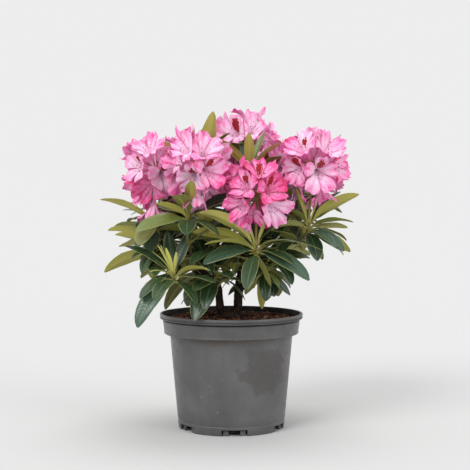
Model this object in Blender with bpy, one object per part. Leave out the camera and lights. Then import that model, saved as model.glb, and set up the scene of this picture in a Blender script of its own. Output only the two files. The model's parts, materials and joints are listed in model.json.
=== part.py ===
"""Potted rhododendron in full flower, in metres, +Z up.

The origin is the centre of the pot's flat underside, and the viewer stands at -Y.
The pot carries a plug of compost. A short trunk stands on it and forks into two
stems, the stems carry boughs, each bough carries one mass of twigs and leaves, and
the flowering twigs carry a truss of flowers. Neighbours keep a gap of SEAT.
"""

import math
from typing import NamedTuple

import bmesh
import bpy
import numpy as np
from mathutils import Matrix
from mathutils.bvhtree import BVHTree

SEAT = 0.0003
SEED = 41

# Pot: a five litre container, 23 cm across its lip
LIP_RADIUS = 0.115
POT_HEIGHT = 0.184
BASE_RADIUS = 0.085
BODY_TOP_RADIUS = 0.0985
BODY_TOP_HEIGHT = 0.1505
BAND_RADIUS = 0.1075
BAND_FOOT_HEIGHT = 0.1525
LIP_HEIGHT = 0.008
LIP_OVERHANG = 0.0045
POT_EDGE = 0.001
WALL = 0.002
FLOOR = 0.003
POT_SEGMENTS = 36
SLOT_COUNT = 6
SLOT_FIRST_AZIMUTH = -86.4
SLOT_WIDTH = 0.020
SLOT_HEIGHT = 0.009
SLOT_DEPTH = 0.016

# Compost
COMPOST_TOP = 0.168
COMPOST_FLAT_RADIUS = 0.030
COMPOST_SHOULDER = 0.022
COMPOST_EDGE_DROP = 0.0025
COMPOST_MOUND = 0.0015
COMPOST_MOUND_INSET = 0.016

# Trunk, whose rings are (share of its height, radius), and its two stubs
TRUNK_FOOT = np.array((-0.004, 0.0, COMPOST_TOP + SEAT))
TRUNK_HEIGHT = 0.018
TRUNK_RINGS = ((0.0, 0.0210), (0.30, 0.0155), (0.65, 0.0130), (1.0, 0.0118))
TRUNK_WIDTH = 1.22
TRUNK_SIDES = 12
FLARE_ROOTS = 4
FLARE_TURN = 0.7
FLARE_DEPTH = 0.11
FORK_HEIGHT = 0.196
STUB_START = 0.4
STUB_SPREAD = 0.25
STUB_RISE = 0.4
STUB_SAG = 0.3
STUB_SWELL = 1.12

# Stems, boughs and twigs; a pull is the share of its reach that a limb's end stays straight
STEM_SIDES = 8
STEM_PULL = 1 / 3
STEM_DRIFT = 0.18
BOUGH_SIDES = 6
BOUGH_PULL = 0.35
BOUGH_RADIUS = 0.0045
BOUGH_TIP_RADIUS = 0.0032
BOUGH_START_LIFT = 0.35
BOUGH_START_FLATNESS = 0.25
BOUGH_END_LIFT = 0.45
TWIG_SIDES = 4
TWIG_RADIUS = 0.0031
TWIG_TIP_RADIUS = 0.0026
SIDE_TWIG_PULL = 0.2
SIDE_TWIG_SHARE = 0.85
SHOOT_SPREAD = 0.3

# Leaves
LEAF_WIDTH_RANGE = (0.33, 0.38)
LEAF_THICKNESS = 0.0016
LEAF_FOLD = math.radians(24)
PETIOLE_RADIUS = 0.0012
LEAF_STATIONS = ((0.0, 0.0), (0.12, 0.0), (0.40, 1.0), (0.76, 0.80))
WHORL_LENGTH = 0.017
WHORL_LOW = 0.015
WHORL_HIGH = 0.003
STEEPEST_START = math.radians(60)
GOLDEN_TURN = 137.5
LOWEST_AIM = -80.0
BEND_RANGE = (28.0, 62.0)
REACH_RANGE = (0.082, 0.104)
TURN_RANGE = (-20.0, 20.0)
RULE_RISES = (34, -22, 8, -38, 22, -10, -30, 14)
RULE_SWING = 8.0
RULE_LIFT = 5.0
LEAF_TRIES = 9
SET_LEAF_SHIFT = (7, 6)
RULE_LEAF_SHIFT = (18, 16)
CLEARANCE = 0.0005

# Flowers, measured along each flower's axis from the heart of its truss
FLOWER_FOOT = -0.001
THROAT_DEPTH = 0.024
THROAT_HEIGHT = 0.035
THROAT_RADIUS = 0.0075
THROAT_WALL = 0.0012
SINUS_HEIGHT = 0.0430
SINUS_RADIUS = 0.0140
LOBE_HEIGHT = 0.0520
LOBE_RADIUS = 0.0275
LOBE_HALF_ANGLE = 19.0
FLOWER_SIZE_RANGE = (0.97, 1.06)
FLOWERS_PER_TRUSS = 10
FLOWER_TRIES = 5
FLOWER_SHIFT = 0.12
FLOWER_SPACING = 50.0
DOME_RISES = (80.0, -45.0)
DOME_STEPS = 60
DOME_SWING = 30.0
RACHIS_PULL = 0.010
RACHIS_END = 0.004
RACHIS_RADIUS = 0.0024
RACHIS_TIP_RADIUS = 0.0016


class Finish(NamedTuple):
    """Colour in linear values, roughness and metallic value of one material."""

    colour: tuple
    roughness: float
    metallic: float = 0.0


FINISHES = {
    "pot_plastic": Finish((0.125, 0.115, 0.112), 0.42),
    "compost": Finish((0.050, 0.026, 0.016), 0.95),
    "bark": Finish((0.060, 0.043, 0.030), 0.85),
    "leaf": Finish((0.050, 0.098, 0.052), 0.45),
    "petal": Finish((0.900, 0.300, 0.560), 0.55),
}


class Mesh(NamedTuple):
    """Points and faces of one closed solid."""

    points: np.ndarray
    faces: list


class Shoot(NamedTuple):
    """One twig's end: its place, its leaves and flowers set by hand, and how many follow the rule.

    A leaf is (azimuth, rise, reach, turn): azimuth and rise of the line from the
    twig's end to the leaf's tip in degrees, its length, and how far the blade is
    turned to show its upper side to the front. A flower is (azimuth, rise).
    """

    tip: tuple
    leaves: tuple
    more: int
    heart: tuple | None = None
    flowers: tuple = ()


class Stem(NamedTuple):
    """One of the two stems, from its fork to its top."""

    foot: tuple
    top: tuple
    foot_radius: float
    top_radius: float


class Bough(NamedTuple):
    """One bough: the stem it grows on, how far up, and its own end."""

    stem: str
    share: float
    tip: tuple


STEMS = {
    "left": Stem((-0.0190, -0.002, FORK_HEIGHT), (-0.036, 0.010, 0.300), 0.0066, 0.0046),
    "right": Stem((0.0105, 0.002, FORK_HEIGHT), (0.025, 0.002, 0.312), 0.0074, 0.0048),
}

BOUGHS = {
    "front": Bough("right", 0.34, (0.018, -0.045, 0.262)),
    "left_front": Bough("left", 0.36, (-0.055, -0.052, 0.266)),
    "left": Bough("left", 0.66, (-0.077, -0.008, 0.287)),
    "right": Bough("right", 0.56, (0.062, -0.034, 0.282)),
    "right_rear": Bough("right", 0.78, (0.068, 0.018, 0.320)),
    "top": Bough("right", 1.0, (0.022, 0.014, 0.360)),
    "top_left": Bough("left", 1.0, (-0.052, 0.036, 0.338)),
    "rear": Bough("left", 0.52, (-0.012, 0.088, 0.290)),
    "rear_right": Bough("right", 0.45, (0.068, 0.074, 0.285)),
    "low_left": Bough("left", 0.22, (-0.068, 0.038, 0.258)),
    "low_right": Bough("right", 0.20, (0.042, 0.034, 0.245)),
}

MASSES = {
    "front": (
        Shoot(
            (0.038, -0.100, 0.301),
            (
                (-3, -6, 0.100, -10),
                (-21, -33, 0.101, 35),
                (-107, -52, 0.085, 0),
                (-169, -21, 0.087, 25),
                (-173, 28, 0.098, -35),
                (171, 9, 0.099, -30),
                (18, 69, 0.046, 0),
            ),
            1,
            (0.039, -0.110, 0.373),
            ((-120, 20), (-128, -20), (-61, 12), (-52, -25), (-111, -47), (-77, 54)),
        ),
        Shoot(
            (-0.025, -0.070, 0.258),
            (
                (-119, -24, 0.069, 20),
                (-123, -53, 0.093, 30),
                (-109, -52, 0.073, 25),
                (169, -45, 0.077, 0),
            ),
            2,
        ),
    ),
    "left_front": (
        Shoot(
            (-0.063, -0.095, 0.348),
            (
                (-76, 39, 0.073, 0),
                (-149, 13, 0.060, -20),
                (-8, 19, 0.079, 35),
                (-166, -19, 0.089, 40),
                (31, 11, 0.049, -20),
            ),
            2,
            (-0.052, -0.100, 0.416),
            ((-64, -9), (-100, -29), (-119, 42), (-70, 34), (-160, 12)),
        ),
        Shoot(
            (-0.0885, -0.100, 0.257),
            (
                (-155, -55, 0.101, 40),
                (180, 28, 0.083, 20),
                (-35, 4, 0.070, -25),
                (54, 55, 0.075, 10),
                (105, 55, 0.073, 10),
                (-125, 4, 0.055, 0),
                (163, -33, 0.060, -20),
                (-162, 44, 0.045, 0),
                (-165, 65, 0.045, 0),
            ),
            0,
        ),
        Shoot((-0.028, -0.045, 0.302), (), 6),
    ),
    "left": (
        Shoot(
            (-0.125, -0.020, 0.338),
            ((-173, 19, 0.087, -15), (126, -7, 0.075, 10)),
            5,
            (-0.118, -0.025, 0.4135),
            ((-71, -4), (-135, 7), (-165, -39), (-106, -46), (-115, 50), (-52, 38)),
        ),
        Shoot(
            (-0.113, -0.020, 0.290),
            ((180, -24, 0.097, -35), (-176, 16, 0.074, -30), (161, 16, 0.094, -25)),
            3,
        ),
    ),
    "right": (
        Shoot(
            (0.121, -0.050, 0.333),
            (
                (-11, 28, 0.089, -30),
                (26, 24, 0.076, 15),
                (-12, -1, 0.070, -15),
                (-29, -37, 0.076, 35),
                (9, -36, 0.083, -25),
                (32, -9, 0.077, -20),
                (-153, -12, 0.069, -20),
            ),
            1,
            (0.127, -0.055, 0.4165),
            ((-128, 3), (-79, -12), (-126, 42), (-52, 38), (-27, 4), (-4, -34), (-60, -60)),
        ),
        Shoot(
            (0.053, -0.040, 0.2685),
            (
                (-60, -43, 0.055, -30),
                (14, -52, 0.068, 30),
                (-88, -67, 0.065, 20),
                (102, -75, 0.079, -30),
                (14, -10, 0.062, 20),
                (29, 2, 0.084, 20),
            ),
            1,
        ),
    ),
    "right_rear": (
        Shoot(
            (0.070, 0.000, 0.362),
            ((-44, 23, 0.071, 0),),
            5,
            (0.072, 0.010, 0.4122),
            ((-109, 14),),
        ),
        Shoot(
            (0.122, 0.055, 0.392),
            (
                (-36, 76, 0.069, 0),
                (-5, 54, 0.099, 0),
                (70, 20, 0.090, 0),
                (130, -5, 0.095, 0),
                (25, -35, 0.085, 0),
            ),
            0,
        ),
    ),
    "top": (
        Shoot(
            (0.020, 0.060, 0.420),
            (),
            6,
            (0.0225, 0.065, 0.459),
            ((-117, 24), (-69, 31), (-44, 8)),
        ),
        Shoot(
            (0.030, -0.030, 0.416),
            (
                (-96, 65, 0.060, 0),
                (180, 40, 0.072, -25),
                (-6, 39, 0.064, -15),
                (138, 63, 0.049, 0),
                (47, 59, 0.066, 0),
            ),
            2,
        ),
    ),
    "top_left": (
        Shoot((-0.090, 0.090, 0.362), (), 7, (-0.095, 0.097, 0.415)),
        Shoot((-0.056, 0.020, 0.417), ((-29, 71, 0.095, -20), (171, 34, 0.075, -25)), 5),
    ),
    "rear": (
        Shoot((0.000, 0.140, 0.358), (), 7, (0.000, 0.150, 0.412)),
        Shoot((-0.060, 0.122, 0.285), (), 7),
    ),
    "rear_right": (
        Shoot((0.104, 0.100, 0.350), (), 7, (0.108, 0.108, 0.404)),
        Shoot((0.058, 0.132, 0.285), (), 7),
    ),
    "low_left": (
        Shoot(
            (-0.108, 0.062, 0.300),
            ((175, 12, 0.090, -20), (140, -8, 0.095, 0), (-165, -8, 0.080, -20)),
            4,
        ),
        Shoot((-0.046, 0.066, 0.262), ((-120, -40, 0.090, 0),), 4),
    ),
    "low_right": (
        Shoot((0.056, 0.058, 0.262), ((-155, -38, 0.085, 0),), 5),
        Shoot((0.026, 0.044, 0.305), (), 6),
    ),
}


def unit(vector):
    """The vector at length 1."""
    return vector / np.linalg.norm(vector)


def heading(azimuth, rise):
    """Unit vector at this azimuth and rise, both in degrees."""
    a, e = math.radians(azimuth), math.radians(rise)
    return np.array((math.cos(e) * math.cos(a), math.cos(e) * math.sin(a), math.sin(e)))


def bezier(p0, p1, p2, p3, count):
    """Points on a cubic curve and its unit directions there."""
    t = np.linspace(0, 1, count)[:, None]
    u = 1 - t
    points = u**3 * p0 + 3 * u**2 * t * p1 + 3 * u * t**2 * p2 + t**3 * p3
    slopes = u**2 * (p1 - p0) + 2 * u * t * (p2 - p1) + t**2 * (p3 - p2)
    return points, slopes / np.linalg.norm(slopes, axis=1, keepdims=True)


def loft(rings, tip=None):
    """Closed solid through rings of equal length, with flat caps or a pointed last end."""
    sides = len(rings[0])
    points = np.concatenate(list(rings) + ([[tip]] if tip is not None else []))
    faces = [tuple(reversed(range(sides)))]
    for low in range(0, (len(rings) - 1) * sides, sides):
        for i in range(sides):
            j = (i + 1) % sides
            faces.append((low + i, low + j, low + sides + j))
            faces.append((low + i, low + sides + j, low + sides + i))
    last = (len(rings) - 1) * sides
    if tip is None:
        faces.append(tuple(range(last, last + sides)))
    else:
        faces += [(last + i, last + (i + 1) % sides, last + sides) for i in range(sides)]
    return Mesh(points, faces)


def tube(points, slopes, radii, sides):
    """Tapering limb of this many sides along a curve, with square ends."""
    across = unit(np.cross(slopes[0], (0.31, 0.95, 0.05)))
    turns = 2 * math.pi * np.arange(sides) / sides
    rings = []
    for point, slope, radius in zip(points, slopes, radii, strict=True):
        across = unit(across - slope * (across @ slope))
        other = np.cross(slope, across)
        round_line = np.outer(np.cos(turns), across) + np.outer(np.sin(turns), other)
        rings.append(point + radius * round_line)
    return loft(rings)


def make_material(name):
    """The Principled material of this name."""
    finish = FINISHES[name]
    material = bpy.data.materials.new(name)
    material.use_nodes = True
    material.diffuse_color = (*finish.colour, 1)
    shader = material.node_tree.nodes["Principled BSDF"]
    shader.inputs["Base Color"].default_value = (*finish.colour, 1)
    shader.inputs["Roughness"].default_value = finish.roughness
    shader.inputs["Metallic"].default_value = finish.metallic
    return material


def add_object(name, mesh, material=None):
    """Adds a solid to the scene under this name."""
    data = bpy.data.meshes.new(name)
    data.from_pydata(mesh.points.tolist(), [], mesh.faces)
    if material:
        data.materials.append(material)
    built = bpy.data.objects.new(name, data)
    bpy.context.scene.collection.objects.link(built)
    return built


def turned(name, profile, segments, material):
    """Solid of revolution about Z of a profile that starts and ends on the axis."""
    bm = bmesh.new()
    ring = [bm.verts.new((radius, 0, height)) for radius, height in profile]
    edges = [bm.edges.new(pair) for pair in zip(ring, ring[1:])]
    bmesh.ops.spin(
        bm,
        geom=ring + edges,
        axis=(0, 0, 1),
        angle=2 * math.pi,
        steps=segments,
        use_merge=True,
    )
    bmesh.ops.remove_doubles(bm, verts=bm.verts, dist=1e-6)
    bmesh.ops.recalc_face_normals(bm, faces=bm.faces)
    data = bpy.data.meshes.new(name)
    bm.to_mesh(data)
    bm.free()
    data.materials.append(material)
    data.shade_smooth()
    data.set_sharp_from_angle(angle=math.radians(30))
    built = bpy.data.objects.new(name, data)
    bpy.context.scene.collection.objects.link(built)
    return built


def keep_largest_shell(data):
    """Drops loose scraps and sealed hollows that a union left in the mesh."""
    bm = bmesh.new()
    bm.from_mesh(data)
    left, shells = set(bm.faces), []
    while left:
        shell, edge = set(), [left.pop()]
        while edge:
            face = edge.pop()
            shell.add(face)
            near = {other for side in face.edges for other in side.link_faces} & left
            left -= near
            edge.extend(near)
        shells.append(shell)
    shells.sort(key=len)
    scraps = [face for shell in shells[:-1] for face in shell]
    bmesh.ops.delete(bm, geom=scraps, context="FACES")
    bmesh.ops.delete(bm, geom=[v for v in bm.verts if not v.link_faces], context="VERTS")
    bm.to_mesh(data)
    bm.free()


def combine(base, others, operation, solver="EXACT"):
    """Applies one Boolean of the other objects, as a collection, to the base, and removes them."""
    group = bpy.data.collections.new("group")
    bpy.context.scene.collection.children.link(group)
    for other in others:
        bpy.context.scene.collection.objects.unlink(other)
        group.objects.link(other)
    cut = base.modifiers.new("combine", "BOOLEAN")
    cut.operation = operation
    cut.operand_type = "COLLECTION"
    cut.collection = group
    cut.solver = solver
    graph = bpy.context.evaluated_depsgraph_get()
    result = bpy.data.meshes.new_from_object(base.evaluated_get(graph), depsgraph=graph)
    base.modifiers.clear()
    base.data = result
    for other in others:
        bpy.data.objects.remove(other)
    bpy.data.collections.remove(group)
    keep_largest_shell(result)
    return base


def fuse(name, meshes, material, solver="MANIFOLD"):
    """One object from solids that overlap."""
    base = add_object(name, meshes[0], material)
    others = [add_object("piece", mesh, material) for mesh in meshes[1:]]
    return combine(base, others, "UNION", solver)


def make_pot(material):
    """Container with its band, lip and drainage slots."""
    lip_foot = POT_HEIGHT - LIP_HEIGHT
    band_top = LIP_RADIUS - LIP_OVERHANG
    outer = [
        (0, 0),
        (BASE_RADIUS - WALL, 0),
        (BASE_RADIUS, WALL),
        (BODY_TOP_RADIUS, BODY_TOP_HEIGHT),
        (BAND_RADIUS, BAND_FOOT_HEIGHT),
        (band_top, lip_foot - POT_EDGE),
        (LIP_RADIUS, lip_foot),
        (LIP_RADIUS, POT_HEIGHT - POT_EDGE),
        (LIP_RADIUS - POT_EDGE, POT_HEIGHT),
    ]
    inner = [
        (band_top, POT_HEIGHT),
        (BAND_RADIUS - WALL, BAND_FOOT_HEIGHT + WALL),
        (BODY_TOP_RADIUS - WALL, BODY_TOP_HEIGHT + WALL),
        (BASE_RADIUS - WALL, FLOOR),
        (0, FLOOR),
    ]
    pot = turned("pot", outer + inner, POT_SEGMENTS, material)
    slots = []
    for number in range(SLOT_COUNT):
        azimuth = math.radians(SLOT_FIRST_AZIMUTH + number * 360 / SLOT_COUNT)
        bm = bmesh.new()
        place = (
            Matrix.Rotation(azimuth, 4, "Z")
            @ Matrix.Translation((BASE_RADIUS, 0, 0))
            @ Matrix.Diagonal((2 * SLOT_DEPTH, SLOT_WIDTH, 2 * SLOT_HEIGHT, 1))
        )
        bmesh.ops.create_cube(bm, size=1, matrix=place)
        data = bpy.data.meshes.new("slot")
        bm.to_mesh(data)
        bm.free()
        slots.append(bpy.data.objects.new("slot", data))
        bpy.context.scene.collection.objects.link(slots[-1])
    return combine(pot, slots, "DIFFERENCE")


def pot_bore(height):
    """Inner radius of the pot at a height below its band."""
    share = (height - FLOOR) / (BODY_TOP_HEIGHT + WALL - FLOOR)
    return BASE_RADIUS - WALL + share * (BODY_TOP_RADIUS - BASE_RADIUS)


def make_compost(material):
    """Compost that fills the pot to below its lip, level where the trunk stands."""
    step = BODY_TOP_HEIGHT + WALL
    band_foot = BAND_FOOT_HEIGHT + WALL
    band_share = (COMPOST_TOP - band_foot) / (POT_HEIGHT - band_foot)
    band_widening = LIP_RADIUS - LIP_OVERHANG - BAND_RADIUS + WALL
    band_bore = BAND_RADIUS - WALL + band_share * band_widening
    profile = [
        (0, FLOOR + SEAT),
        (BASE_RADIUS - SLOT_DEPTH - SEAT, FLOOR + SEAT),
        (pot_bore(COMPOST_SHOULDER) - SEAT, COMPOST_SHOULDER),
        (BODY_TOP_RADIUS - WALL - SEAT, step + SEAT),
        (BAND_RADIUS - WALL - 2 * SEAT, band_foot + SEAT),
        (band_bore - 2 * SEAT, COMPOST_TOP - COMPOST_EDGE_DROP),
        (band_bore - COMPOST_MOUND_INSET, COMPOST_TOP + COMPOST_MOUND),
        (COMPOST_FLAT_RADIUS, COMPOST_TOP),
        (0, COMPOST_TOP),
    ]
    return turned("compost", profile, POT_SEGMENTS, material)


def make_trunk(material):
    """Short trunk with a root flare, from its flat cut to the stubs of its two stems."""
    turns = 2 * math.pi * np.arange(TRUNK_SIDES) / TRUNK_SIDES
    oval = np.stack([TRUNK_WIDTH * np.cos(turns), np.sin(turns), np.zeros(TRUNK_SIDES)], 1)
    rings = []
    for share, radius in TRUNK_RINGS:
        ridge = 1 + FLARE_DEPTH * (1 - share) * np.cos(FLARE_ROOTS * turns + FLARE_TURN)
        rings.append(TRUNK_FOOT + (0, 0, share * TRUNK_HEIGHT) + oval * (radius * ridge)[:, None])
    solids = [loft(rings)]
    for stem in STEMS.values():
        top = np.array(stem.foot)
        start = TRUNK_FOOT + (STUB_SPREAD * (top[0] - TRUNK_FOOT[0]), 0, STUB_START * TRUNK_HEIGHT)
        rise = np.array((0, 0, STUB_RISE * (top[2] - start[2])))
        line = bezier(start, (start + top) / 2 - STUB_SAG * rise, top - rise, top, 5)
        radii = np.linspace(stem.foot_radius * STUB_SWELL, stem.foot_radius, 5)
        solids.append(tube(*line, radii, STEM_SIDES))
    return fuse("trunk", solids, material)


def stem_curve(stem, count):
    """Points and directions of a stem, from the trunk's stub to its top."""
    foot, top = np.array(stem.foot), np.array(stem.top)
    reach = np.linalg.norm(top - foot)
    lift = np.array((0, 0, STEM_PULL * reach))
    drift = STEM_DRIFT * (top - foot) * (1, 1, 0)
    return bezier(foot, foot + lift, top - lift - drift, top, count)


def stem_at(stem, share):
    """Point and direction of a stem at a share of its curve."""
    points, slopes = stem_curve(stem, 101)
    index = round(share * 100)
    return points[index], slopes[index]


def bough_curve(bough, count):
    """Points and directions of a bough, from inside its stem, or from the stem's top, to its end."""
    start, slope = stem_at(STEMS[bough.stem], bough.share)
    end = np.array(bough.tip)
    straight = unit(end - start)
    pull = BOUGH_PULL * np.linalg.norm(end - start)
    if bough.share == 1:
        start = start + SEAT * slope
        return bezier(start, start + pull * slope, end - pull * straight, end, count)
    leave = unit(straight * (1, 1, BOUGH_START_FLATNESS) + (0, 0, BOUGH_START_LIFT))
    arrive = unit(straight + (0, 0, BOUGH_END_LIFT))
    return bezier(start, start + pull * leave, end - pull * arrive, end, count)


def make_stems(material):
    """Both stems, each seated on its stub of the trunk."""
    for name, stem in STEMS.items():
        points, slopes = stem_curve(stem, 8)
        points[0] += SEAT * slopes[0]
        radii = np.linspace(stem.foot_radius, stem.top_radius, 8)
        add_object(f"stem_{name}", tube(points, slopes, radii, STEM_SIDES), material)


def make_boughs(material):
    """Each bough, its foot hollowed to the round of the stem that it grows on."""
    for name, bough in BOUGHS.items():
        points, slopes = bough_curve(bough, 6)
        radii = np.linspace(BOUGH_RADIUS, BOUGH_TIP_RADIUS, 6)
        built = add_object(f"bough_{name}", tube(points, slopes, radii, BOUGH_SIDES), material)
        if bough.share < 1:
            stem = STEMS[bough.stem]
            radii = np.linspace(stem.foot_radius, stem.top_radius, 8) + SEAT
            sheath = tube(*stem_curve(stem, 8), radii, STEM_SIDES)
            combine(built, [add_object("sheath", sheath)], "DIFFERENCE")


def shoot_lean(shoot):
    """Direction of a twig's end: to the heart of its truss, or up and a little outwards."""
    if shoot.heart:
        return unit(np.array(shoot.heart) - shoot.tip)
    outward = unit(np.array((shoot.tip[0], shoot.tip[1], 0)))
    return unit(SHOOT_SPREAD * outward + (0, 0, 1))


def twig_curve(start, slope, shoot, pull):
    """Points and directions of a twig that leaves along a slope and ends straight at its leaves."""
    lean = shoot_lean(shoot)
    collar = shoot.tip - WHORL_LENGTH * lean
    reach = np.linalg.norm(collar - start)
    before = collar - BOUGH_PULL * reach * lean
    points, slopes = bezier(start, start + pull * reach * slope, before, collar, 5)
    return np.append(points, [shoot.tip], 0), np.append(slopes, [lean], 0)


def twig_solids(name):
    """The twigs of a mass: one from the bough's end to its shoot, the next out of its side."""
    points, slopes = bough_curve(BOUGHS[name], 6)
    start, slope = points[-1] + SEAT * slopes[-1], slopes[-1]
    solids = []
    radius, pull = TWIG_RADIUS, BOUGH_PULL
    for shoot in MASSES[name]:
        line = twig_curve(start, slope, shoot, pull)
        solids.append(tube(*line, np.linspace(radius, TWIG_TIP_RADIUS, 6), TWIG_SIDES))
        start = line[0][1]
        slope = unit(line[1][1] + unit(np.array(MASSES[name][-1].tip) - start))
        radius, pull = TWIG_RADIUS * SIDE_TWIG_SHARE, SIDE_TWIG_PULL
    return solids


def leaf_solid(root, tip, bend, turn, width, grow=0.0):
    """Leaf blade on its stalk, arched in an upright plane, as a folded, closed diamond section."""
    span = tip - root
    flat = math.hypot(span[0], span[1])
    reach, rise = np.linalg.norm(span), math.atan2(span[2], flat)
    ahead = np.array((span[0], span[1], 0)) / flat
    side, up = np.cross((0, 0, 1), ahead), np.array((0, 0, 1))
    bend = min(bend, 2 * (STEEPEST_START - rise)) or 1e-3
    first = rise + bend / 2
    radius = reach / 2 / math.sin(bend / 2)
    roll = turn * ahead[0]
    rings = []
    for share, fullness in LEAF_STATIONS:
        angle = first - bend * share
        along = radius * (math.sin(first) - math.sin(angle))
        climb = radius * (math.cos(angle) - math.cos(first))
        middle = root + along * ahead + climb * up
        normal = math.cos(angle) * up - math.sin(angle) * ahead
        over = math.cos(roll) * side + math.sin(roll) * normal
        normal = math.cos(roll) * normal - math.sin(roll) * side
        half = fullness * width / 2 + grow if fullness else PETIOLE_RADIUS + grow
        thick = (LEAF_THICKNESS / 2 if fullness else PETIOLE_RADIUS) + grow
        fold = LEAF_FOLD if fullness else 0
        rim = math.cos(fold) * half * over
        lifted = middle + math.sin(fold) * half * normal
        ridge = thick * normal
        rings.append(np.array([lifted + rim, middle + ridge, lifted - rim, middle - ridge]))
    return loft(rings, tip)


def flower_solid(heart, direction, size, grow=0.0):
    """Funnel of five lobes on its stalk, open to the front."""
    upward = np.array((0, 0, 1)) - direction * direction[2]
    upward = unit(upward)
    across = np.cross(direction, upward)

    def ring(degrees, radius, height):
        """Points at these turns from the topmost lobe, distances from the axis and heights on it."""
        turns = np.radians(degrees)
        spread = np.outer(np.sin(turns), across) + np.outer(np.cos(turns), upward)
        return heart + size * (height * direction + np.asarray(radius)[..., None] * spread)

    notches = 36 + 72 * np.arange(5)
    corners = (0, 36 - LOBE_HALF_ANGLE, 36 + LOBE_HALF_ANGLE)
    rim_degrees = np.add.outer(notches, corners).ravel()
    rim = np.tile((0.0, 1.0, 1.0), 5)
    rim_radius = SINUS_RADIUS + grow + rim * (LOBE_RADIUS - SINUS_RADIUS)
    rim_height = (SINUS_HEIGHT + rim * (LOBE_HEIGHT - SINUS_HEIGHT))[:, None]
    inner_radius = THROAT_RADIUS - THROAT_WALL
    inner_height = THROAT_HEIGHT + THROAT_WALL + grow
    points = np.concatenate(
        [
            ring([0], np.zeros(1), FLOWER_FOOT),
            ring(notches, np.full(5, THROAT_RADIUS + grow), THROAT_HEIGHT),
            ring(rim_degrees, rim_radius, rim_height + grow),
            ring(notches, np.full(5, inner_radius), inner_height),
            ring([0], np.zeros(1), THROAT_DEPTH),
        ]
    )
    foot, throat, edge, inside, bottom = 0, 1, 6, 21, 26
    faces = []
    for lobe in range(5):
        after = (lobe + 1) % 5
        notch, last = edge + 3 * lobe, edge + 3 * after
        faces += [
            (foot, throat + after, throat + lobe),
            (throat + lobe, notch + 1, notch),
            (throat + lobe, notch + 2, notch + 1),
            (throat + lobe, throat + after, notch + 2),
            (throat + after, last, notch + 2),
            (inside + lobe, notch, notch + 1),
            (inside + lobe, notch + 1, notch + 2),
            (inside + lobe, notch + 2, inside + after),
            (inside + after, notch + 2, last),
            (inside + after, bottom, inside + lobe),
        ]
    return Mesh(points, faces)


class Space:
    """The room that solids have taken, by owner."""

    def __init__(self):
        self.taken = []

    def add(self, owner, mesh):
        """Marks a solid's room as taken by this owner."""
        self.taken.append((owner, BVHTree.FromPolygons(mesh.points.tolist(), mesh.faces)))

    def add_object(self, built):
        """Marks a built object's room as taken."""
        points = np.array([built.matrix_world @ v.co for v in built.data.vertices])
        self.add(built.name, Mesh(points, [tuple(p.vertices) for p in built.data.polygons]))

    def free(self, owner, mesh):
        """Whether a solid meets nothing that another owner holds."""
        tree = BVHTree.FromPolygons(mesh.points.tolist(), mesh.faces)
        return not any(tree.overlap(other) for held, other in self.taken if held != owner)


def place_leaf(space, owner, shoot, leaf, bend, width, tries):
    """The leaf, in a list, at the first of some near places where it is clear, if one is."""
    azimuth, rise, reach, turn = leaf
    tip, lean = np.array(shoot.tip), shoot_lean(shoot)
    for swing, lift in tries:
        aim = tip + reach * heading(azimuth + swing, max(rise + lift, LOWEST_AIM))
        lowness = np.clip((60 - rise) / 110, 0, 1)
        root = tip - lean * (WHORL_HIGH + lowness * (WHORL_LOW - WHORL_HIGH))
        shape = (root, aim, math.radians(bend), math.radians(turn), width * reach)
        if space.free(owner, leaf_solid(*shape, CLEARANCE)):
            solid = leaf_solid(*shape)
            space.add(owner, solid)
            return [solid]
    return []


def leaf_plan(shoot, rng):
    """Each leaf of a shoot as ((azimuth, rise, reach, turn), bend, width, tries), set ones first."""

    def plan_row(leaf, shift):
        """A leaf with its seeded bend and width and the places to try."""
        tries = np.concatenate([[(0, 0)], rng.normal(0, shift, (LEAF_TRIES - 1, 2))])
        return leaf, rng.uniform(*BEND_RANGE), rng.uniform(*LEAF_WIDTH_RANGE), tries

    outward = math.degrees(math.atan2(shoot.tip[1], shoot.tip[0]))
    azimuths = [leaf[0] for leaf in shoot.leaves]
    plan = [plan_row(leaf, SET_LEAF_SHIFT) for leaf in shoot.leaves]
    for number in range(shoot.more):
        azimuth = outward + GOLDEN_TURN * len(azimuths) + rng.normal(0, RULE_SWING)
        if shoot.leaves:
            around = np.sort(np.mod(azimuths, 360))
            gaps = np.diff(np.append(around, around[0] + 360))
            azimuth = around[gaps.argmax()] + gaps.max() / 2
        azimuths.append(azimuth)
        rise = RULE_RISES[number % len(RULE_RISES)] + rng.normal(0, RULE_LIFT)
        leaf = (azimuth, rise, rng.uniform(*REACH_RANGE), rng.uniform(*TURN_RANGE))
        plan.append(plan_row(leaf, RULE_LEAF_SHIFT))
    return plan


def flower_plan(shoot, rng):
    """Each flower of a truss as (direction, tries, size): set ones, then a spread dome."""
    aims = [heading(*flower) for flower in shoot.flowers]
    for number, rise in enumerate(np.linspace(*DOME_RISES, DOME_STEPS)):
        aim = heading(GOLDEN_TURN * number + rng.uniform(0, DOME_SWING), rise)
        if all(aim @ other < math.cos(math.radians(FLOWER_SPACING)) for other in aims):
            aims.append(aim)
    shifts = [rng.normal(0, FLOWER_SHIFT, (FLOWER_TRIES - 1, 3)) for _ in aims]
    tries = [np.concatenate([np.zeros((1, 3)), shift]) for shift in shifts]
    return [(*row, rng.uniform(*FLOWER_SIZE_RANGE)) for row in zip(aims, tries, strict=True)]


def rachis_solid(shoot):
    """Stalk of a truss, from the twig's end to just past the heart."""
    tip, heart, lean = np.array(shoot.tip), np.array(shoot.heart), shoot_lean(shoot)
    foot, end = tip + SEAT * lean, heart + RACHIS_END * lean
    line = bezier(foot, tip + RACHIS_PULL * lean, heart - RACHIS_PULL * lean, end, 3)
    return tube(*line, np.linspace(RACHIS_RADIUS, RACHIS_TIP_RADIUS, 3), TWIG_SIDES)


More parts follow.
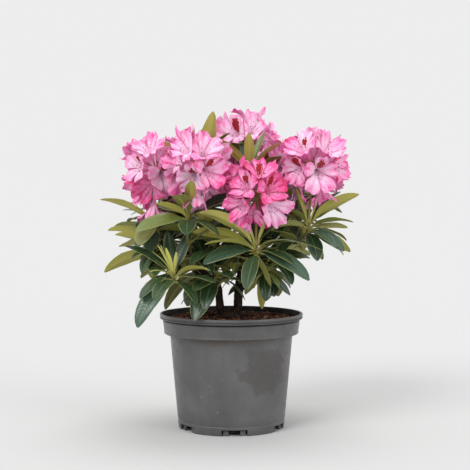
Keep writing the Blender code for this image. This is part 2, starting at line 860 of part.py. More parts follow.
def place_flowers(space, owner, shoot, rng):
    """The flowers of a truss, each at the first of some near directions where it is clear."""
    solids = []
    for aim, tries, size in flower_plan(shoot, rng):
        for shift in tries:
            shape = (np.array(shoot.heart), unit(aim + shift), size)
            if space.free(owner, flower_solid(*shape, CLEARANCE)):
                solids.append(flower_solid(*shape))
                space.add(owner, solids[-1])
                break
        if len(solids) == FLOWERS_PER_TRUSS:
            break
    return solids


def make_crown(space, materials):
    """The masses of leaves and the trusses, each fused into one solid in its own space."""
    solids, by_hand, by_rule = {}, [], []
    for index, (name, shoots) in enumerate(MASSES.items()):
        leaves, truss = f"leaves_{name}", f"truss_{name}"
        solids[leaves] = twig_solids(name)
        for number, shoot in enumerate(shoots):
            plan = leaf_plan(shoot, np.random.default_rng((SEED, index, number)))
            by_hand += [(leaves, shoot, *leaf) for leaf in plan[: len(shoot.leaves)]]
            by_rule += [(leaves, shoot, *leaf) for leaf in plan[len(shoot.leaves) :]]
            if shoot.heart:
                solids[truss] = [rachis_solid(shoot)]
    for owner, parts in solids.items():
        for part in parts:
            space.add(owner, part)
    for owner, *leaf in by_hand:
        solids[owner] += place_leaf(space, owner, *leaf)
    for index, (name, shoots) in enumerate(MASSES.items()):
        for number, shoot in enumerate(shoots):
            if shoot.heart:
                rng = np.random.default_rng((SEED, index, number, 1))
                solids[f"truss_{name}"] += place_flowers(space, f"truss_{name}", shoot, rng)
    for owner, *leaf in by_rule:
        solids[owner] += place_leaf(space, owner, *leaf)
    for name, parts in solids.items():
        fuse(name, parts, materials["petal" if name.startswith("truss") else "leaf"])


def main():
    """Builds the whole plant in its pot."""
    for old in list(bpy.data.objects):
        bpy.data.objects.remove(old)
    materials = {name: make_material(name) for name in FINISHES}
    make_pot(materials["pot_plastic"])
    make_compost(materials["compost"])
    make_trunk(materials["bark"])
    make_stems(materials["bark"])
    make_boughs(materials["bark"])
    space = Space()
    for built in list(bpy.context.scene.collection.objects):
        space.add_object(built)
    make_crown(space, materials)


main()
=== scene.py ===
"""Looks of a potted rhododendron in full flower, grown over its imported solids.

Everything is in metres, +Z up, with the origin under the pot and the viewer at -Y. Limbs,
whorls of leaves and trusses follow the rule that made the solids, and are carried on to finer
twigs, more leaves, ruffled corollas, stamens, bark and crumbs of compost.
"""

from __future__ import annotations

import json
import logging
import math
from dataclasses import dataclass
from enum import Enum

import bpy
import numpy as np
from bpy.types import Material, Node, NodeSocket, NodeTree, Object
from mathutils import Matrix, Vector
from mathutils.bvhtree import BVHTree
from mathutils.kdtree import KDTree

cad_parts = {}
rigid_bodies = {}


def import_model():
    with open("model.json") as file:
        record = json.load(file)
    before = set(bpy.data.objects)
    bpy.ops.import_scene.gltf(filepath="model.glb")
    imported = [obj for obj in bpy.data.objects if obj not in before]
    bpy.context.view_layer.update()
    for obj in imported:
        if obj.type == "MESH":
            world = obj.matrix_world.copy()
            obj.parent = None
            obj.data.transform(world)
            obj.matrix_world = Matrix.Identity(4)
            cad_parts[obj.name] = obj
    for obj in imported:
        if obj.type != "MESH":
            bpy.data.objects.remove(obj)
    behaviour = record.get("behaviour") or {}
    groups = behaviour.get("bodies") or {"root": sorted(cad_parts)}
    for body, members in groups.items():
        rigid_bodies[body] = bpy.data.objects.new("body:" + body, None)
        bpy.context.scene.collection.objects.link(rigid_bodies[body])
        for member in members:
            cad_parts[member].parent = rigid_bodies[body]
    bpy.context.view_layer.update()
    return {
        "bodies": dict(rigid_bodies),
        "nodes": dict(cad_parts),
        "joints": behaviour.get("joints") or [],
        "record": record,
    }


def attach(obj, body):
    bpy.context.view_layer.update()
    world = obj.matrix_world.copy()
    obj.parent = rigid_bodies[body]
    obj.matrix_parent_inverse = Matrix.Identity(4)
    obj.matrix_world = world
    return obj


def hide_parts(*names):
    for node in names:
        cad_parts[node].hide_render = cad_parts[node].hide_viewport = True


LOG = logging.getLogger("rhododendron")
Array = np.ndarray
Rng = np.random.Generator
Place = tuple[float, float, float]
Colour = tuple[float, float, float]
Span = tuple[float, float]
Pair = tuple[Array, Array]
Value = Node | NodeSocket | float | tuple
SEAT = 0.0003
SEED = 41
GOLDEN_TURN = 137.5
BODY = "root"
FORK_HEIGHT = 0.196


class LeafTone(Enum):
    """Tone of a leaf, dealt out by spray and by age."""

    DEEP = 0
    MID = 1
    BLUISH = 2
    OLIVE = 3
    YOUNG = 4


class LeafZone(Enum):
    """Zone of a leaf's surface that has its own colour."""

    BLADE = 0
    UNDER = 1
    RIB = 2
    UNDER_RIB = 3
    EDGE = 4
    STALK = 5


class PetalTone(Enum):
    """Tone of a patch of a petal, from the pale heart to the dark blotch."""

    LILAC = 0
    BLUSH = 1
    ROSE = 2
    DEEP_ROSE = 3
    STRONG = 4
    CRIMSON = 5
    BLOTCH = 6
    SPECK = 7


@dataclass(frozen=True)
class Shoot:
    """One twig's end: its place, its given leaves and flowers, and how many follow the rule.

    A leaf is (azimuth, rise, reach, turn) and a flower is (azimuth, rise), in degrees and metres.
    """

    tip: Place
    leaves: tuple = ()
    more: int = 0
    heart: Place | None = None
    flowers: tuple = ()


@dataclass(frozen=True)
class Stem:
    """One of the two stems, from its fork to its top."""

    foot: Place
    top: Place
    foot_radius: float
    top_radius: float


@dataclass(frozen=True)
class Bough:
    """One bough: the stem it grows on, how far up, and its own end."""

    stem: str
    share: float
    tip: Place


@dataclass(frozen=True)
class Look:
    """How a leaf that shows in the photo differs: tone, share of its width, added turn, fold."""

    tone: LeafTone | None = None
    width: float = 1.0
    turn: float = 0.0
    fold: float | None = None


DEEP, MID, BLUISH, OLIVE, YOUNG = LeafTone

STEMS = {
    "left": Stem((-0.019, -0.002, FORK_HEIGHT), (-0.036, 0.01, 0.3), 0.0066, 0.0046),
    "right": Stem((0.0105, 0.002, FORK_HEIGHT), (0.025, 0.002, 0.312), 0.0074, 0.0048),
}

BOUGHS = {
    "front": Bough("right", 0.34, (0.018, -0.045, 0.262)),
    "left_front": Bough("left", 0.36, (-0.055, -0.052, 0.266)),
    "left": Bough("left", 0.66, (-0.077, -0.008, 0.287)),
    "right": Bough("right", 0.56, (0.062, -0.034, 0.282)),
    "right_rear": Bough("right", 0.78, (0.068, 0.018, 0.32)),
    "top": Bough("right", 1.0, (0.022, 0.014, 0.36)),
    "top_left": Bough("left", 1.0, (-0.052, 0.036, 0.338)),
    "rear": Bough("left", 0.52, (-0.012, 0.088, 0.29)),
    "rear_right": Bough("right", 0.45, (0.068, 0.074, 0.285)),
    "low_left": Bough("left", 0.22, (-0.068, 0.038, 0.258)),
    "low_right": Bough("right", 0.2, (0.042, 0.034, 0.245)),
}

MASSES = {
    "front": (
        Shoot(
            (0.038, -0.1, 0.301),
            ((-3, -6, 0.1, -10), (-21, -33, 0.101, 35), (-107, -52, 0.085, 0), (-169, -21, 0.087, 25),
             (-173, 28, 0.098, -35), (171, 9, 0.099, -30), (18, 69, 0.046, 0)),
            1, (0.039, -0.11, 0.373), ((-120, 20), (-128, -20), (-61, 12), (-52, -25), (-111, -47), (-77, 54)),
        ),
        Shoot(
            (-0.025, -0.07, 0.258),
            ((-119, -24, 0.069, 20), (-123, -53, 0.093, 30), (-109, -52, 0.073, 25), (169, -45, 0.077, 0)), 2,
        ),
    ),
    "left_front": (
        Shoot(
            (-0.063, -0.095, 0.348),
            ((-76, 39, 0.073, 0), (-149, 13, 0.06, -20), (-8, 19, 0.079, 35), (-166, -19, 0.089, 40),
             (31, 11, 0.049, -20)),
            2, (-0.052, -0.1, 0.416), ((-64, -9), (-100, -29), (-119, 42), (-70, 34), (-160, 12)),
        ),
        Shoot(
            (-0.0885, -0.1, 0.257),
            ((-155, -55, 0.101, 40), (180, 28, 0.083, 20), (-35, 4, 0.07, -25), (54, 55, 0.075, 10),
             (105, 55, 0.073, 10), (-125, 4, 0.055, 0), (163, -33, 0.06, -20), (-162, 44, 0.045, 0),
             (-165, 65, 0.045, 0)),
        ),
        Shoot((-0.028, -0.045, 0.302), (), 6),
    ),
    "left": (
        Shoot(
            (-0.125, -0.02, 0.338), ((-173, 19, 0.087, -15), (126, -7, 0.075, 10)), 5, (-0.118, -0.025, 0.4135),
            ((-71, -4), (-135, 7), (-165, -39), (-106, -46), (-115, 50), (-52, 38)),
        ),
        Shoot(
            (-0.113, -0.02, 0.29), ((180, -24, 0.097, -35), (-176, 16, 0.074, -30), (161, 16, 0.094, -25)), 3,
        ),
    ),
    "right": (
        Shoot(
            (0.121, -0.05, 0.333),
            ((-11, 28, 0.089, -30), (26, 24, 0.076, 15), (-12, -1, 0.07, -15), (-29, -37, 0.076, 35),
             (9, -36, 0.083, -25), (32, -9, 0.077, -20), (-153, -12, 0.069, -20)),
            1, (0.127, -0.055, 0.4165),
            ((-128, 3), (-79, -12), (-126, 42), (-52, 38), (-27, 4), (-4, -34), (-60, -60)),
        ),
        Shoot(
            (0.053, -0.04, 0.2685),
            ((-60, -43, 0.055, -30), (14, -52, 0.068, 30), (-88, -67, 0.065, 20), (102, -75, 0.079, -30),
             (14, -10, 0.062, 20), (29, 2, 0.084, 20)),
            1,
        ),
    ),
    "right_rear": (
        Shoot((0.07, 0, 0.362), ((-44, 23, 0.071, 0),), 5, (0.072, 0.01, 0.4122), ((-109, 14),)),
        Shoot(
            (0.122, 0.055, 0.392),
            ((-36, 76, 0.069, 0), (-5, 54, 0.099, 0), (70, 20, 0.09, 0), (130, -5, 0.095, 0),
             (25, -35, 0.085, 0)),
        ),
    ),
    "top": (
        Shoot((0.02, 0.06, 0.42), (), 6, (0.0225, 0.065, 0.459), ((-117, 24), (-69, 31), (-44, 8))),
        Shoot(
            (0.03, -0.03, 0.416),
            ((-96, 65, 0.06, 0), (180, 40, 0.072, -25), (-6, 39, 0.064, -15), (138, 63, 0.049, 0),
             (47, 59, 0.066, 0)),
            2,
        ),
    ),
    "top_left": (
        Shoot((-0.09, 0.09, 0.362), (), 7, (-0.095, 0.097, 0.415)),
        Shoot((-0.056, 0.02, 0.417), ((-29, 71, 0.095, -20), (171, 34, 0.075, -25)), 5),
    ),
    "rear": (Shoot((0, 0.14, 0.358), (), 7, (0, 0.15, 0.412)), Shoot((-0.06, 0.122, 0.285), (), 7)),
    "rear_right": (
        Shoot((0.104, 0.1, 0.35), (), 7, (0.108, 0.108, 0.404)), Shoot((0.058, 0.132, 0.285), (), 7),
    ),
    "low_left": (
        Shoot((-0.108, 0.062, 0.3), ((175, 12, 0.09, -20), (140, -8, 0.095, 0), (-165, -8, 0.08, -20)), 4),
        Shoot((-0.046, 0.066, 0.262), ((-120, -40, 0.09, 0),), 4),
    ),
    "low_right": (
        Shoot((0.056, 0.058, 0.262), ((-155, -38, 0.085, 0),), 5), Shoot((0.026, 0.044, 0.305), (), 6),
    ),
}

# Looks of planned leaves, by mass and by the leaf's number in it. A width of 0 leaves it out.
LEAF_LOOKS = {
    "front": {
        0: Look(DEEP, 0.85, 12, 27), 1: Look(BLUISH, 0.82, -8, 24), 2: Look(MID, 0.82), 3: Look(BLUISH, 0.9),
        4: Look(YOUNG, 0.72), 5: Look(OLIVE, 0.8),
    },
    "left_front": {
        0: Look(OLIVE, 0.85), 1: Look(DEEP, 0.85), 2: Look(OLIVE, 0.72), 6: Look(BLUISH, 0.74, -5),
        7: Look(DEEP, 0.8, 0, 26), 8: Look(OLIVE, 0.6), 9: Look(DEEP, 0.75), 10: Look(DEEP, 0.75),
        11: Look(YOUNG, 0.5), 13: Look(YOUNG, 0.5), 14: Look(YOUNG, 0.5), 15: Look(OLIVE, 0.8),
    },
    "left": {
        0: Look(OLIVE, 0.62, -8, 20), 2: Look(OLIVE, 0.8, -30), 5: Look(width=0), 6: Look(OLIVE, 0.8),
        7: Look(OLIVE, 0.8), 8: Look(OLIVE, 0.85),
    },
    "right": {
        0: Look(OLIVE, 0.66, 0, 20), 2: Look(DEEP, 0.85, 0, 27), 3: Look(BLUISH, 0.85, 0, 24),
        4: Look(OLIVE, 0.85), 5: Look(OLIVE, 0.8), 7: Look(OLIVE, 0.9), 8: Look(DEEP, 0.9), 9: Look(DEEP, 0.85),
        10: Look(OLIVE, 0.5),
    },
    "right_rear": {5: Look(YOUNG, 0.85), 6: Look(OLIVE, 0.8)},
    "top": {
        4: Look(OLIVE, 0.8), 5: Look(OLIVE, 0.8), 6: Look(YOUNG, 0.8), 7: Look(BLUISH, 0.85),
        8: Look(OLIVE, 0.6), 9: Look(width=0),
    },
    "top_left": {6: Look(OLIVE, 0.85), 7: Look(YOUNG, 0.9), 9: Look(width=0)},
}

# Leaves given beside the solids' own: shoot's number, azimuth, rise, reach, bend, width share, tone.
SET_LEAVES = {
    "front": ((0, -30, 72, 0.056, 30, 0.62, YOUNG), (0, -150, 66, 0.04, 40, 0.6, YOUNG)),
    "left_front": (
        (0, -86, 33, 0.086, 34, 0.56, OLIVE), (1, -120, 62, 0.042, 30, 0.6, YOUNG),
        (1, -175, 30, 0.044, 30, 0.55, YOUNG), (1, -60, 70, 0.032, 30, 0.6, YOUNG),
        (1, -150, 58, 0.048, 30, 0.6, YOUNG), (2, 63, 45, 0.074, 40, 1, DEEP), (2, 100, 52, 0.074, 40, 1, DEEP),
    ),
    "left": ((0, -40, 60, 0.036, 40, 0.5, YOUNG),),
    "low_left": ((1, -28, 66, 0.098, 30, 1, DEEP),),
    "right": ((0, -140, 62, 0.06, 24, 0.5, YOUNG), (0, -20, 66, 0.034, 40, 0.5, YOUNG)),
}

# Places that the tips of added leaves keep clear of, each with its distance.
NO_LEAVES = (
    ((-0.1085, -0.11, 0.4045), 0.03), ((-0.057, -0.132, 0.29), 0.018), ((-0.092, -0.145, 0.303), 0.012),
    ((0.141, -0.074, 0.251), 0.009), ((0.106, 0.009, 0.206), 0.009), ((0.129, -0.066, 0.252), 0.009),
    ((-0.184, 0.027, 0.372), 0.012),
)
YOUNG_SHOOTS = ((-0.0885, -0.1, 0.257),)
BARE_SHOOTS = ((0.03, -0.03, 0.416),)

TRUSS_DEPTHS = {"front": 0.16, "top": -0.05}

# Looks of flowers near a direction: azimuth, rise, deeper, wider, blotch's scale, share of the size.
FLOWER_LOOKS = {
    "front": (
        (-61, 12, 0.42, 0.35, 0.8, 1), (-120, 20, 0, 0.25, 0.75, 1), (-52, -25, -0.05, -0.15, 0, 1),
        (-128, -20, 0, 0, 0.8, 1), (-111, -47, 0, 0, 0, 0.82),
    ),
    "left_front": (
        (-119, 42, 0, 0, 0, 1), (-100, -29, 0, 0, 1, 0.84), (-70, 34, 0, 0, 0, 1), (-160, 12, 0, 0, 0.6, 0.66),
    ),
    "left": (
        (-115, 50, 0, 0, 0, 1), (74, 74, 0, 0, 0, 0.68), (-106, -46, 0.16, 0, 0, 1), (-165, -39, 0.1, 0, 0, 1),
        (-135, 7, 0.05, 0, 0.6, 1),
    ),
    "right": ((-126, 42, 0, 0, 0.6, 1), (-52, 38, 0, 0, 0, 1), (-27, 4, 0.1, 0, 0, 1), (-161, -45, 0, 0, 0, 1)),
    "right_rear": ((-144, 46, 0, 0, 0, 1), (-116, 11, 0, 0, 1.1, 1)),
    "top": ((-69, 31, 0, 0, 0, 1), (-117, 24, -0.05, 0, 1, 1)),
    "top_left": ((-59, 31, 0, 0, 0, 1), (-119, -7, 0, 0, 0.6, 1)),
}

# Flowers given beside the solids' own: azimuth, rise, size, stalk, flare, blotch's scale.
MORE_FLOWERS = {
    "left": (
        (-70, -13, 1, 0, 0.05, 1.1), (175, 67, 0.9, 0.008, -0.12, 0), (-108, -78, 0.95, 0.03, -0.38, 0),
        (150, -66, 0.9, 0.012, -0.38, 0),
    ),
    "left_front": (
        (172, 70, 0.9, 0.012, -0.15, 0), (-88, -74, 0.95, 0.014, -0.38, 0), (-30, -62, 0.9, 0.004, -0.38, 0),
    ),
    "front": ((-150, -58, 0.85, 0.006, -0.38, 0),),
    "right": (
        (-133, -5, 0.95, 0, 0, 1.1), (-4, -34, 0.92, 0, 0, 0), (0, 63, 0.92, 0.004, -0.12, 0),
        (-20, -70, 0.9, 0.01, -0.38, 0),
    ),
    "top": ((-44, 8, 0.95, 0, 0, 0),),
    "top_left": ((100, -60, 0.92, 0.01, -0.38, 0), (60, 70, 0.9, 0.004, -0.12, 0.7)),
    "rear": ((70, -64, 0.92, 0.012, -0.38, 0), (-150, 72, 0.9, 0.004, -0.12, 0)),
    "rear_right": ((40, -62, 0.92, 0.012, -0.38, 0), (120, 70, 0.9, 0.004, -0.12, 0.7)),
}

# Directions that added flowers keep away from.
NO_FLOWERS = {"left": ((-20, 39), (-60, 34), (-25, 2)), "top": ((-117, 61),)}


def seeded(*numbers: int) -> Rng:
    """Random source of one job, the same in every run."""
    return np.random.default_rng((SEED, *numbers))


def gather(items: list, field: str) -> Array:
    """One field of every item, as an array."""
    return np.array([getattr(item, field) for item in items])


def unit(vectors: Array) -> Array:
    """Brings vectors along the last axis to length 1."""
    return vectors / np.maximum(np.linalg.norm(vectors, axis=-1, keepdims=True), 1e-12)


def heading(azimuth: float, rise: float) -> Array:
    """Unit vector of an azimuth, turned about Z from +X, and a rise above the level, in degrees."""
    a, e = math.radians(azimuth), math.radians(rise)
    return np.array((math.cos(e) * math.cos(a), math.cos(e) * math.sin(a), math.sin(e)))


def ease(values: Array, low: float, high: float) -> Array:
    """Runs smoothly from 0 at low to 1 at high, which may be the smaller one: 3t^2 - 2t^3."""
    t = np.clip((values - low) / (high - low), 0, 1)
    return t * t * (3 - 2 * t)


def turns_of(count: int) -> Array:
    """Angles of a number of equal steps round a circle, from 0."""
    return 2 * np.pi * np.arange(count) / count


def turned(radii: Array, heights: Array | float, turns: Array) -> Array:
    """Turns an outline about Z: its points, as a column, run round at the given angles."""
    return np.stack(np.broadcast_arrays(radii * np.cos(turns), radii * np.sin(turns), heights), axis=-1)


def turn_about(axis: int, angles: Array) -> Array:
    """Matrices that turn about one axis by each of the angles.

    Args:
        axis: Number of the axis.
        angles: The angles.

    Returns:
        Matrices shaped (angles, 3, 3).
    """
    one, two, made = (axis + 1) % 3, (axis + 2) % 3, np.zeros((len(angles), 3, 3))
    made[:, axis, axis], made[:, one, one], made[:, two, two] = 1, np.cos(angles), np.cos(angles)
    made[:, two, one], made[:, one, two] = np.sin(angles), -np.sin(angles)
    return made


def chart_of(down: Array, across: Array) -> Array:
    """Places of a grid's points on the surface, row by row."""
    return np.stack(np.meshgrid(down, across, indexing="ij"), axis=-1).reshape(-1, 2)


def bezier(p0: Array, p1: Array, p2: Array, p3: Array, count: int) -> Pair:
    """Follows a cubic curve from p0 to p3 that leaves towards p1 and arrives from p2.

    Args:
        p0, p1, p2, p3: Start, the two handles and the end.
        count: Number of points.

    Returns:
        The points and the unit directions there.
    """
    t = np.linspace(0, 1, count)[:, None]
    u = 1 - t
    points = u**3 * p0 + 3 * u**2 * t * p1 + 3 * u * t**2 * p2 + t**3 * p3
    return points, unit(u**2 * (p1 - p0) + 2 * u * t * (p2 - p1) + t**2 * (p3 - p2))


def lattice_noise(x: Array, y: Array, shape: tuple[int, int], rng: Rng) -> Array:
    """Smooth noise on a wrapped lattice of random values, eased between its knots.

    Args:
        x, y: Coordinates, one turn of the lattice from 0 to 1.
        shape: Knots each way.
        rng: Seeded source.

    Returns:
        Values from -1 to 1.
    """
    knots = rng.uniform(-1, 1, shape)
    px, py = np.mod(x, 1) * shape[0], np.mod(y, 1) * shape[1]
    i, j = px.astype(int) % shape[0], py.astype(int) % shape[1]
    fx, fy = ease(px % 1, 0, 1), ease(py % 1, 0, 1)
    i1, j1 = (i + 1) % shape[0], (j + 1) % shape[1]
    near = knots[i, j] * (1 - fx) + knots[i1, j] * fx
    far = knots[i, j1] * (1 - fx) + knots[i1, j1] * fx
    return near * (1 - fy) + far * fy


def grid_faces(rows: int, columns: int, wrap: bool = False) -> Array:
    """Lists the quads of a grid of points, whose normals are rows' direction x columns' direction.

    Args:
        rows: Rows of points.
        columns: Points in a row.
        wrap: Whether a row closes on itself.

    Returns:
        Four point numbers for each quad.
    """
    across = columns if wrap else columns - 1
    row, column = np.divmod(np.arange((rows - 1) * across), across)
    a, b = row * columns + column, row * columns + (column + 1) % columns
    return np.stack([a + columns, b + columns, b, a], axis=1)


def grid_normals(points: Array, wrap: bool) -> Array:
    """Normals of grids whose rows close on themselves or don't: the cross product of their slopes."""
    across = np.roll(points, -1, -2) - np.roll(points, 1, -2) if wrap else np.gradient(points, axis=-2)
    return unit(np.cross(np.gradient(points, axis=-3), across))


def ring_points(lines: Array, radii: Array, sides: int) -> Array:
    """Rings square to lines of points, turned as little as the line allows from point to point.

    Args:
        lines: Lines shaped (copies, points, 3).
        radii: Radius at each point, shaped (points,), (copies, points) or (copies, points, sides).
        sides: Points of each ring.

    Returns:
        Rings shaped (copies, points, sides, 3), running clockwise as seen along the line.
    """
    slopes, turns = unit(np.gradient(lines, axis=1)), turns_of(sides)
    if radii.ndim < 3:
        radii = np.broadcast_to(radii, lines.shape[:2])[..., None]
    across = unit(np.cross(slopes[:, 0], (0.31, 0.95, 0.05)))
    rings = []
    for number in range(lines.shape[1]):
        slope = slopes[:, number]
        across = unit(across - slope * np.sum(across * slope, axis=1, keepdims=True))
        other = np.cross(slope, across)
        spread = np.cos(turns)[:, None] * across[:, None] + np.sin(turns)[:, None] * other[:, None]
        rings.append(lines[:, number, None] + radii[:, number, :, None] * spread)
    return np.stack(rings, axis=1)


def flower_frame(axes: Array) -> Pair:
    """Unit vectors towards the topmost lobe and sideways from it, for each of the axes."""
    upward = unit(np.array((0, 0, 1)) - axes * axes[:, 2:])
    return upward, np.cross(axes, upward)


class Batch:
    """Copies of patterns of faces, gathered into one mesh with a material slot for each face."""

    def __init__(self) -> None:
        """Starts with nothing."""
        self.points, self.faces, self.slots, self.charts = [], [], [], []
        self.count = 0

    def add(self, points: Array, faces: Array, slots: Array | int = 0, chart: Array | None = None) -> Array:
        """Adds copies of one pattern of points and faces.

        Args:
            points: Points of each copy, shaped (copies, points, 3), or (points, 3) for one.
            faces: Point numbers of each face, shaped (faces, corners).
            slots: Material slot of each face, or of each face of each copy.
            chart: Place of each point on the surface, from 0 to 1 both ways.

        Returns:
            The number of each copy's first point.
        """
        points = points.reshape(-1, *points.shape[-2:])
        copies, size = points.shape[:2]
        starts = self.count + size * np.arange(copies)
        self.points.append(points.reshape(-1, 3))
        self.count += copies * size
        self.add_faces(starts, faces, slots, np.zeros((size, 2)) if chart is None else chart)
        return starts

    def add_faces(self, starts: Array, faces: Array, slots: Array | int, chart: Array) -> None:
        """Adds faces on points that are already there.

        Args:
            starts: The number of each copy's first point.
            faces: Point numbers of each face within its copy.
            slots: Material slot of each face, or of each face of each copy.
            chart: Place of each point of a copy on the surface.
        """
        self.faces.append((starts[:, None, None] + faces).reshape(-1, faces.shape[1]))
        self.slots.append(np.broadcast_to(slots, (len(starts), len(faces))).ravel())
        corners = chart[faces].reshape(1, -1, 2)
        self.charts.append(np.broadcast_to(corners, (len(starts), *corners.shape[1:])).reshape(-1, 2))

    def add_sheet(
        self, front: Array, thickness: Array | float, front_slots: Array, back_slots: Array, wrap: bool = False
    ) -> None:
        """Adds thin closed sheets: a front grid, the same grid set back along its normals, and the rim.

        Args:
            front: Front grids, shaped (copies, rows, columns, 3).
            thickness: Distance to the back, for each point or one for all.
            front_slots: Slot of each front face, shaped (copies, faces).
            back_slots: Slot of each back face, the same way.
            wrap: Whether a row closes on itself.
        """
        copies, rows, columns = front.shape[:3]
        count = rows * columns
        back = front - np.broadcast_to(thickness, (rows, columns))[..., None] * grid_normals(front, wrap)
        points = np.concatenate([front.reshape(copies, -1, 3), back.reshape(copies, -1, 3)], axis=1)
        faces = grid_faces(rows, columns, wrap)
        starts, ends = faces.ravel(), np.roll(faces, -1, axis=1).ravel()
        rim = ~np.isin(ends * count + starts, starts * count + ends)
        p, q = starts[rim], ends[rim]
        sides = np.stack([q, p, p + count, q + count], axis=1)
        owners = np.repeat(np.arange(len(faces)), 4)[rim]
        slots = np.concatenate([front_slots, back_slots, front_slots[:, owners]], axis=1)
        chart = np.tile(chart_of(np.linspace(0, 1, rows), np.linspace(0, 1, columns)), (2, 1))
        self.add(points, np.concatenate([faces, faces[:, ::-1] + count, sides]), slots, chart)

    def add_rings(
        self, rings: Array, slots: Array | int = 0, ends: tuple = (0, 0), inward: bool = False,
        chart: Array | None = None,
    ) -> None:
        """Adds closed tubes: rings of points joined by quads, with one flat face over each end.

        Args:
            rings: Rings shaped (copies, rows, sides, 3), or (rows, sides, 3) for one tube.
            slots: Slot of each side face, or of each side face of each copy.
            ends: Slots of the first and of the last end.
            inward: Whether the rings run anticlockwise as seen along the rows.
            chart: Place of each point on the surface.
        """
        rows, sides = rings.shape[-3:-1]
        chart = np.zeros((rows * sides, 2)) if chart is None else chart
        forth, back = (slice(None), slice(None, None, -1)) if inward else (slice(None, None, -1), slice(None))
        around, ring = grid_faces(rows, sides, wrap=True), np.arange(sides)[None]
        starts = self.add(rings.reshape(-1, rows * sides, 3), around[:, forth], slots, chart)
        self.add_faces(starts, ring[:, forth], ends[0], chart)
        self.add_faces(starts, ring[:, back] + (rows - 1) * sides, ends[1], chart)

    def add_tubes(self, lines: Array, radii: Array, sides: int, slots: Array | int = 0) -> None:
        """Adds round limbs along lines of points, with rings square to the line and flat ends.

        Args:
            lines: Lines shaped (copies, points, 3).
            radii: Radius at each point, shaped (points,), (copies, points) or (copies, points, sides).
            sides: Sides of each limb.
            slots: Slot of each limb, shaped (copies,), or one for all.
        """
        rings = ring_points(lines, radii, sides)
        each = np.broadcast_to(slots, (len(rings),))[:, None]
        chart = chart_of(np.linspace(0, 1, rings.shape[1]), np.arange(sides) / sides)
        self.add_rings(rings, each, (each, each), chart=chart)

    def build(self, name: str, materials: list[Material], crease: float = 40.0) -> Object:
        """Makes one object of all faces.

        Args:
            name: Name of the object.
            materials: Material of each slot.
            crease: Angle in degrees above which an edge stays sharp.

        Returns:
            The object, at the origin.
        """
        mesh = bpy.data.meshes.new(name)
        corners = np.concatenate([faces.ravel() for faces in self.faces])
        sizes = np.concatenate([np.full(len(faces), faces.shape[1]) for faces in self.faces])
        mesh.vertices.add(self.count)
        mesh.vertices.foreach_set("co", np.concatenate(self.points).astype(np.float32).ravel())
        mesh.loops.add(len(corners))
        mesh.loops.foreach_set("vertex_index", corners.astype(np.int32))
        mesh.polygons.add(len(sizes))
        mesh.polygons.foreach_set("loop_start", (np.cumsum(sizes) - sizes).astype(np.int32))
        mesh.polygons.foreach_set("material_index", np.concatenate(self.slots).astype(np.int32))
        mesh.update(calc_edges=True)
        chart = mesh.uv_layers.new(name="surface")
        chart.data.foreach_set("uv", np.concatenate(self.charts).astype(np.float32).ravel())
        for material in materials:
            mesh.materials.append(material)
        soften(mesh, crease)
        built = bpy.data.objects.new(name, mesh)
        bpy.context.scene.collection.objects.link(built)
        return built


def soften(mesh: bpy.types.Mesh, crease: float) -> None:
    """Shades a mesh smooth, with edges above an angle in degrees left sharp."""
    mesh.shade_smooth()
    mesh.set_sharp_from_angle(angle=math.radians(crease))


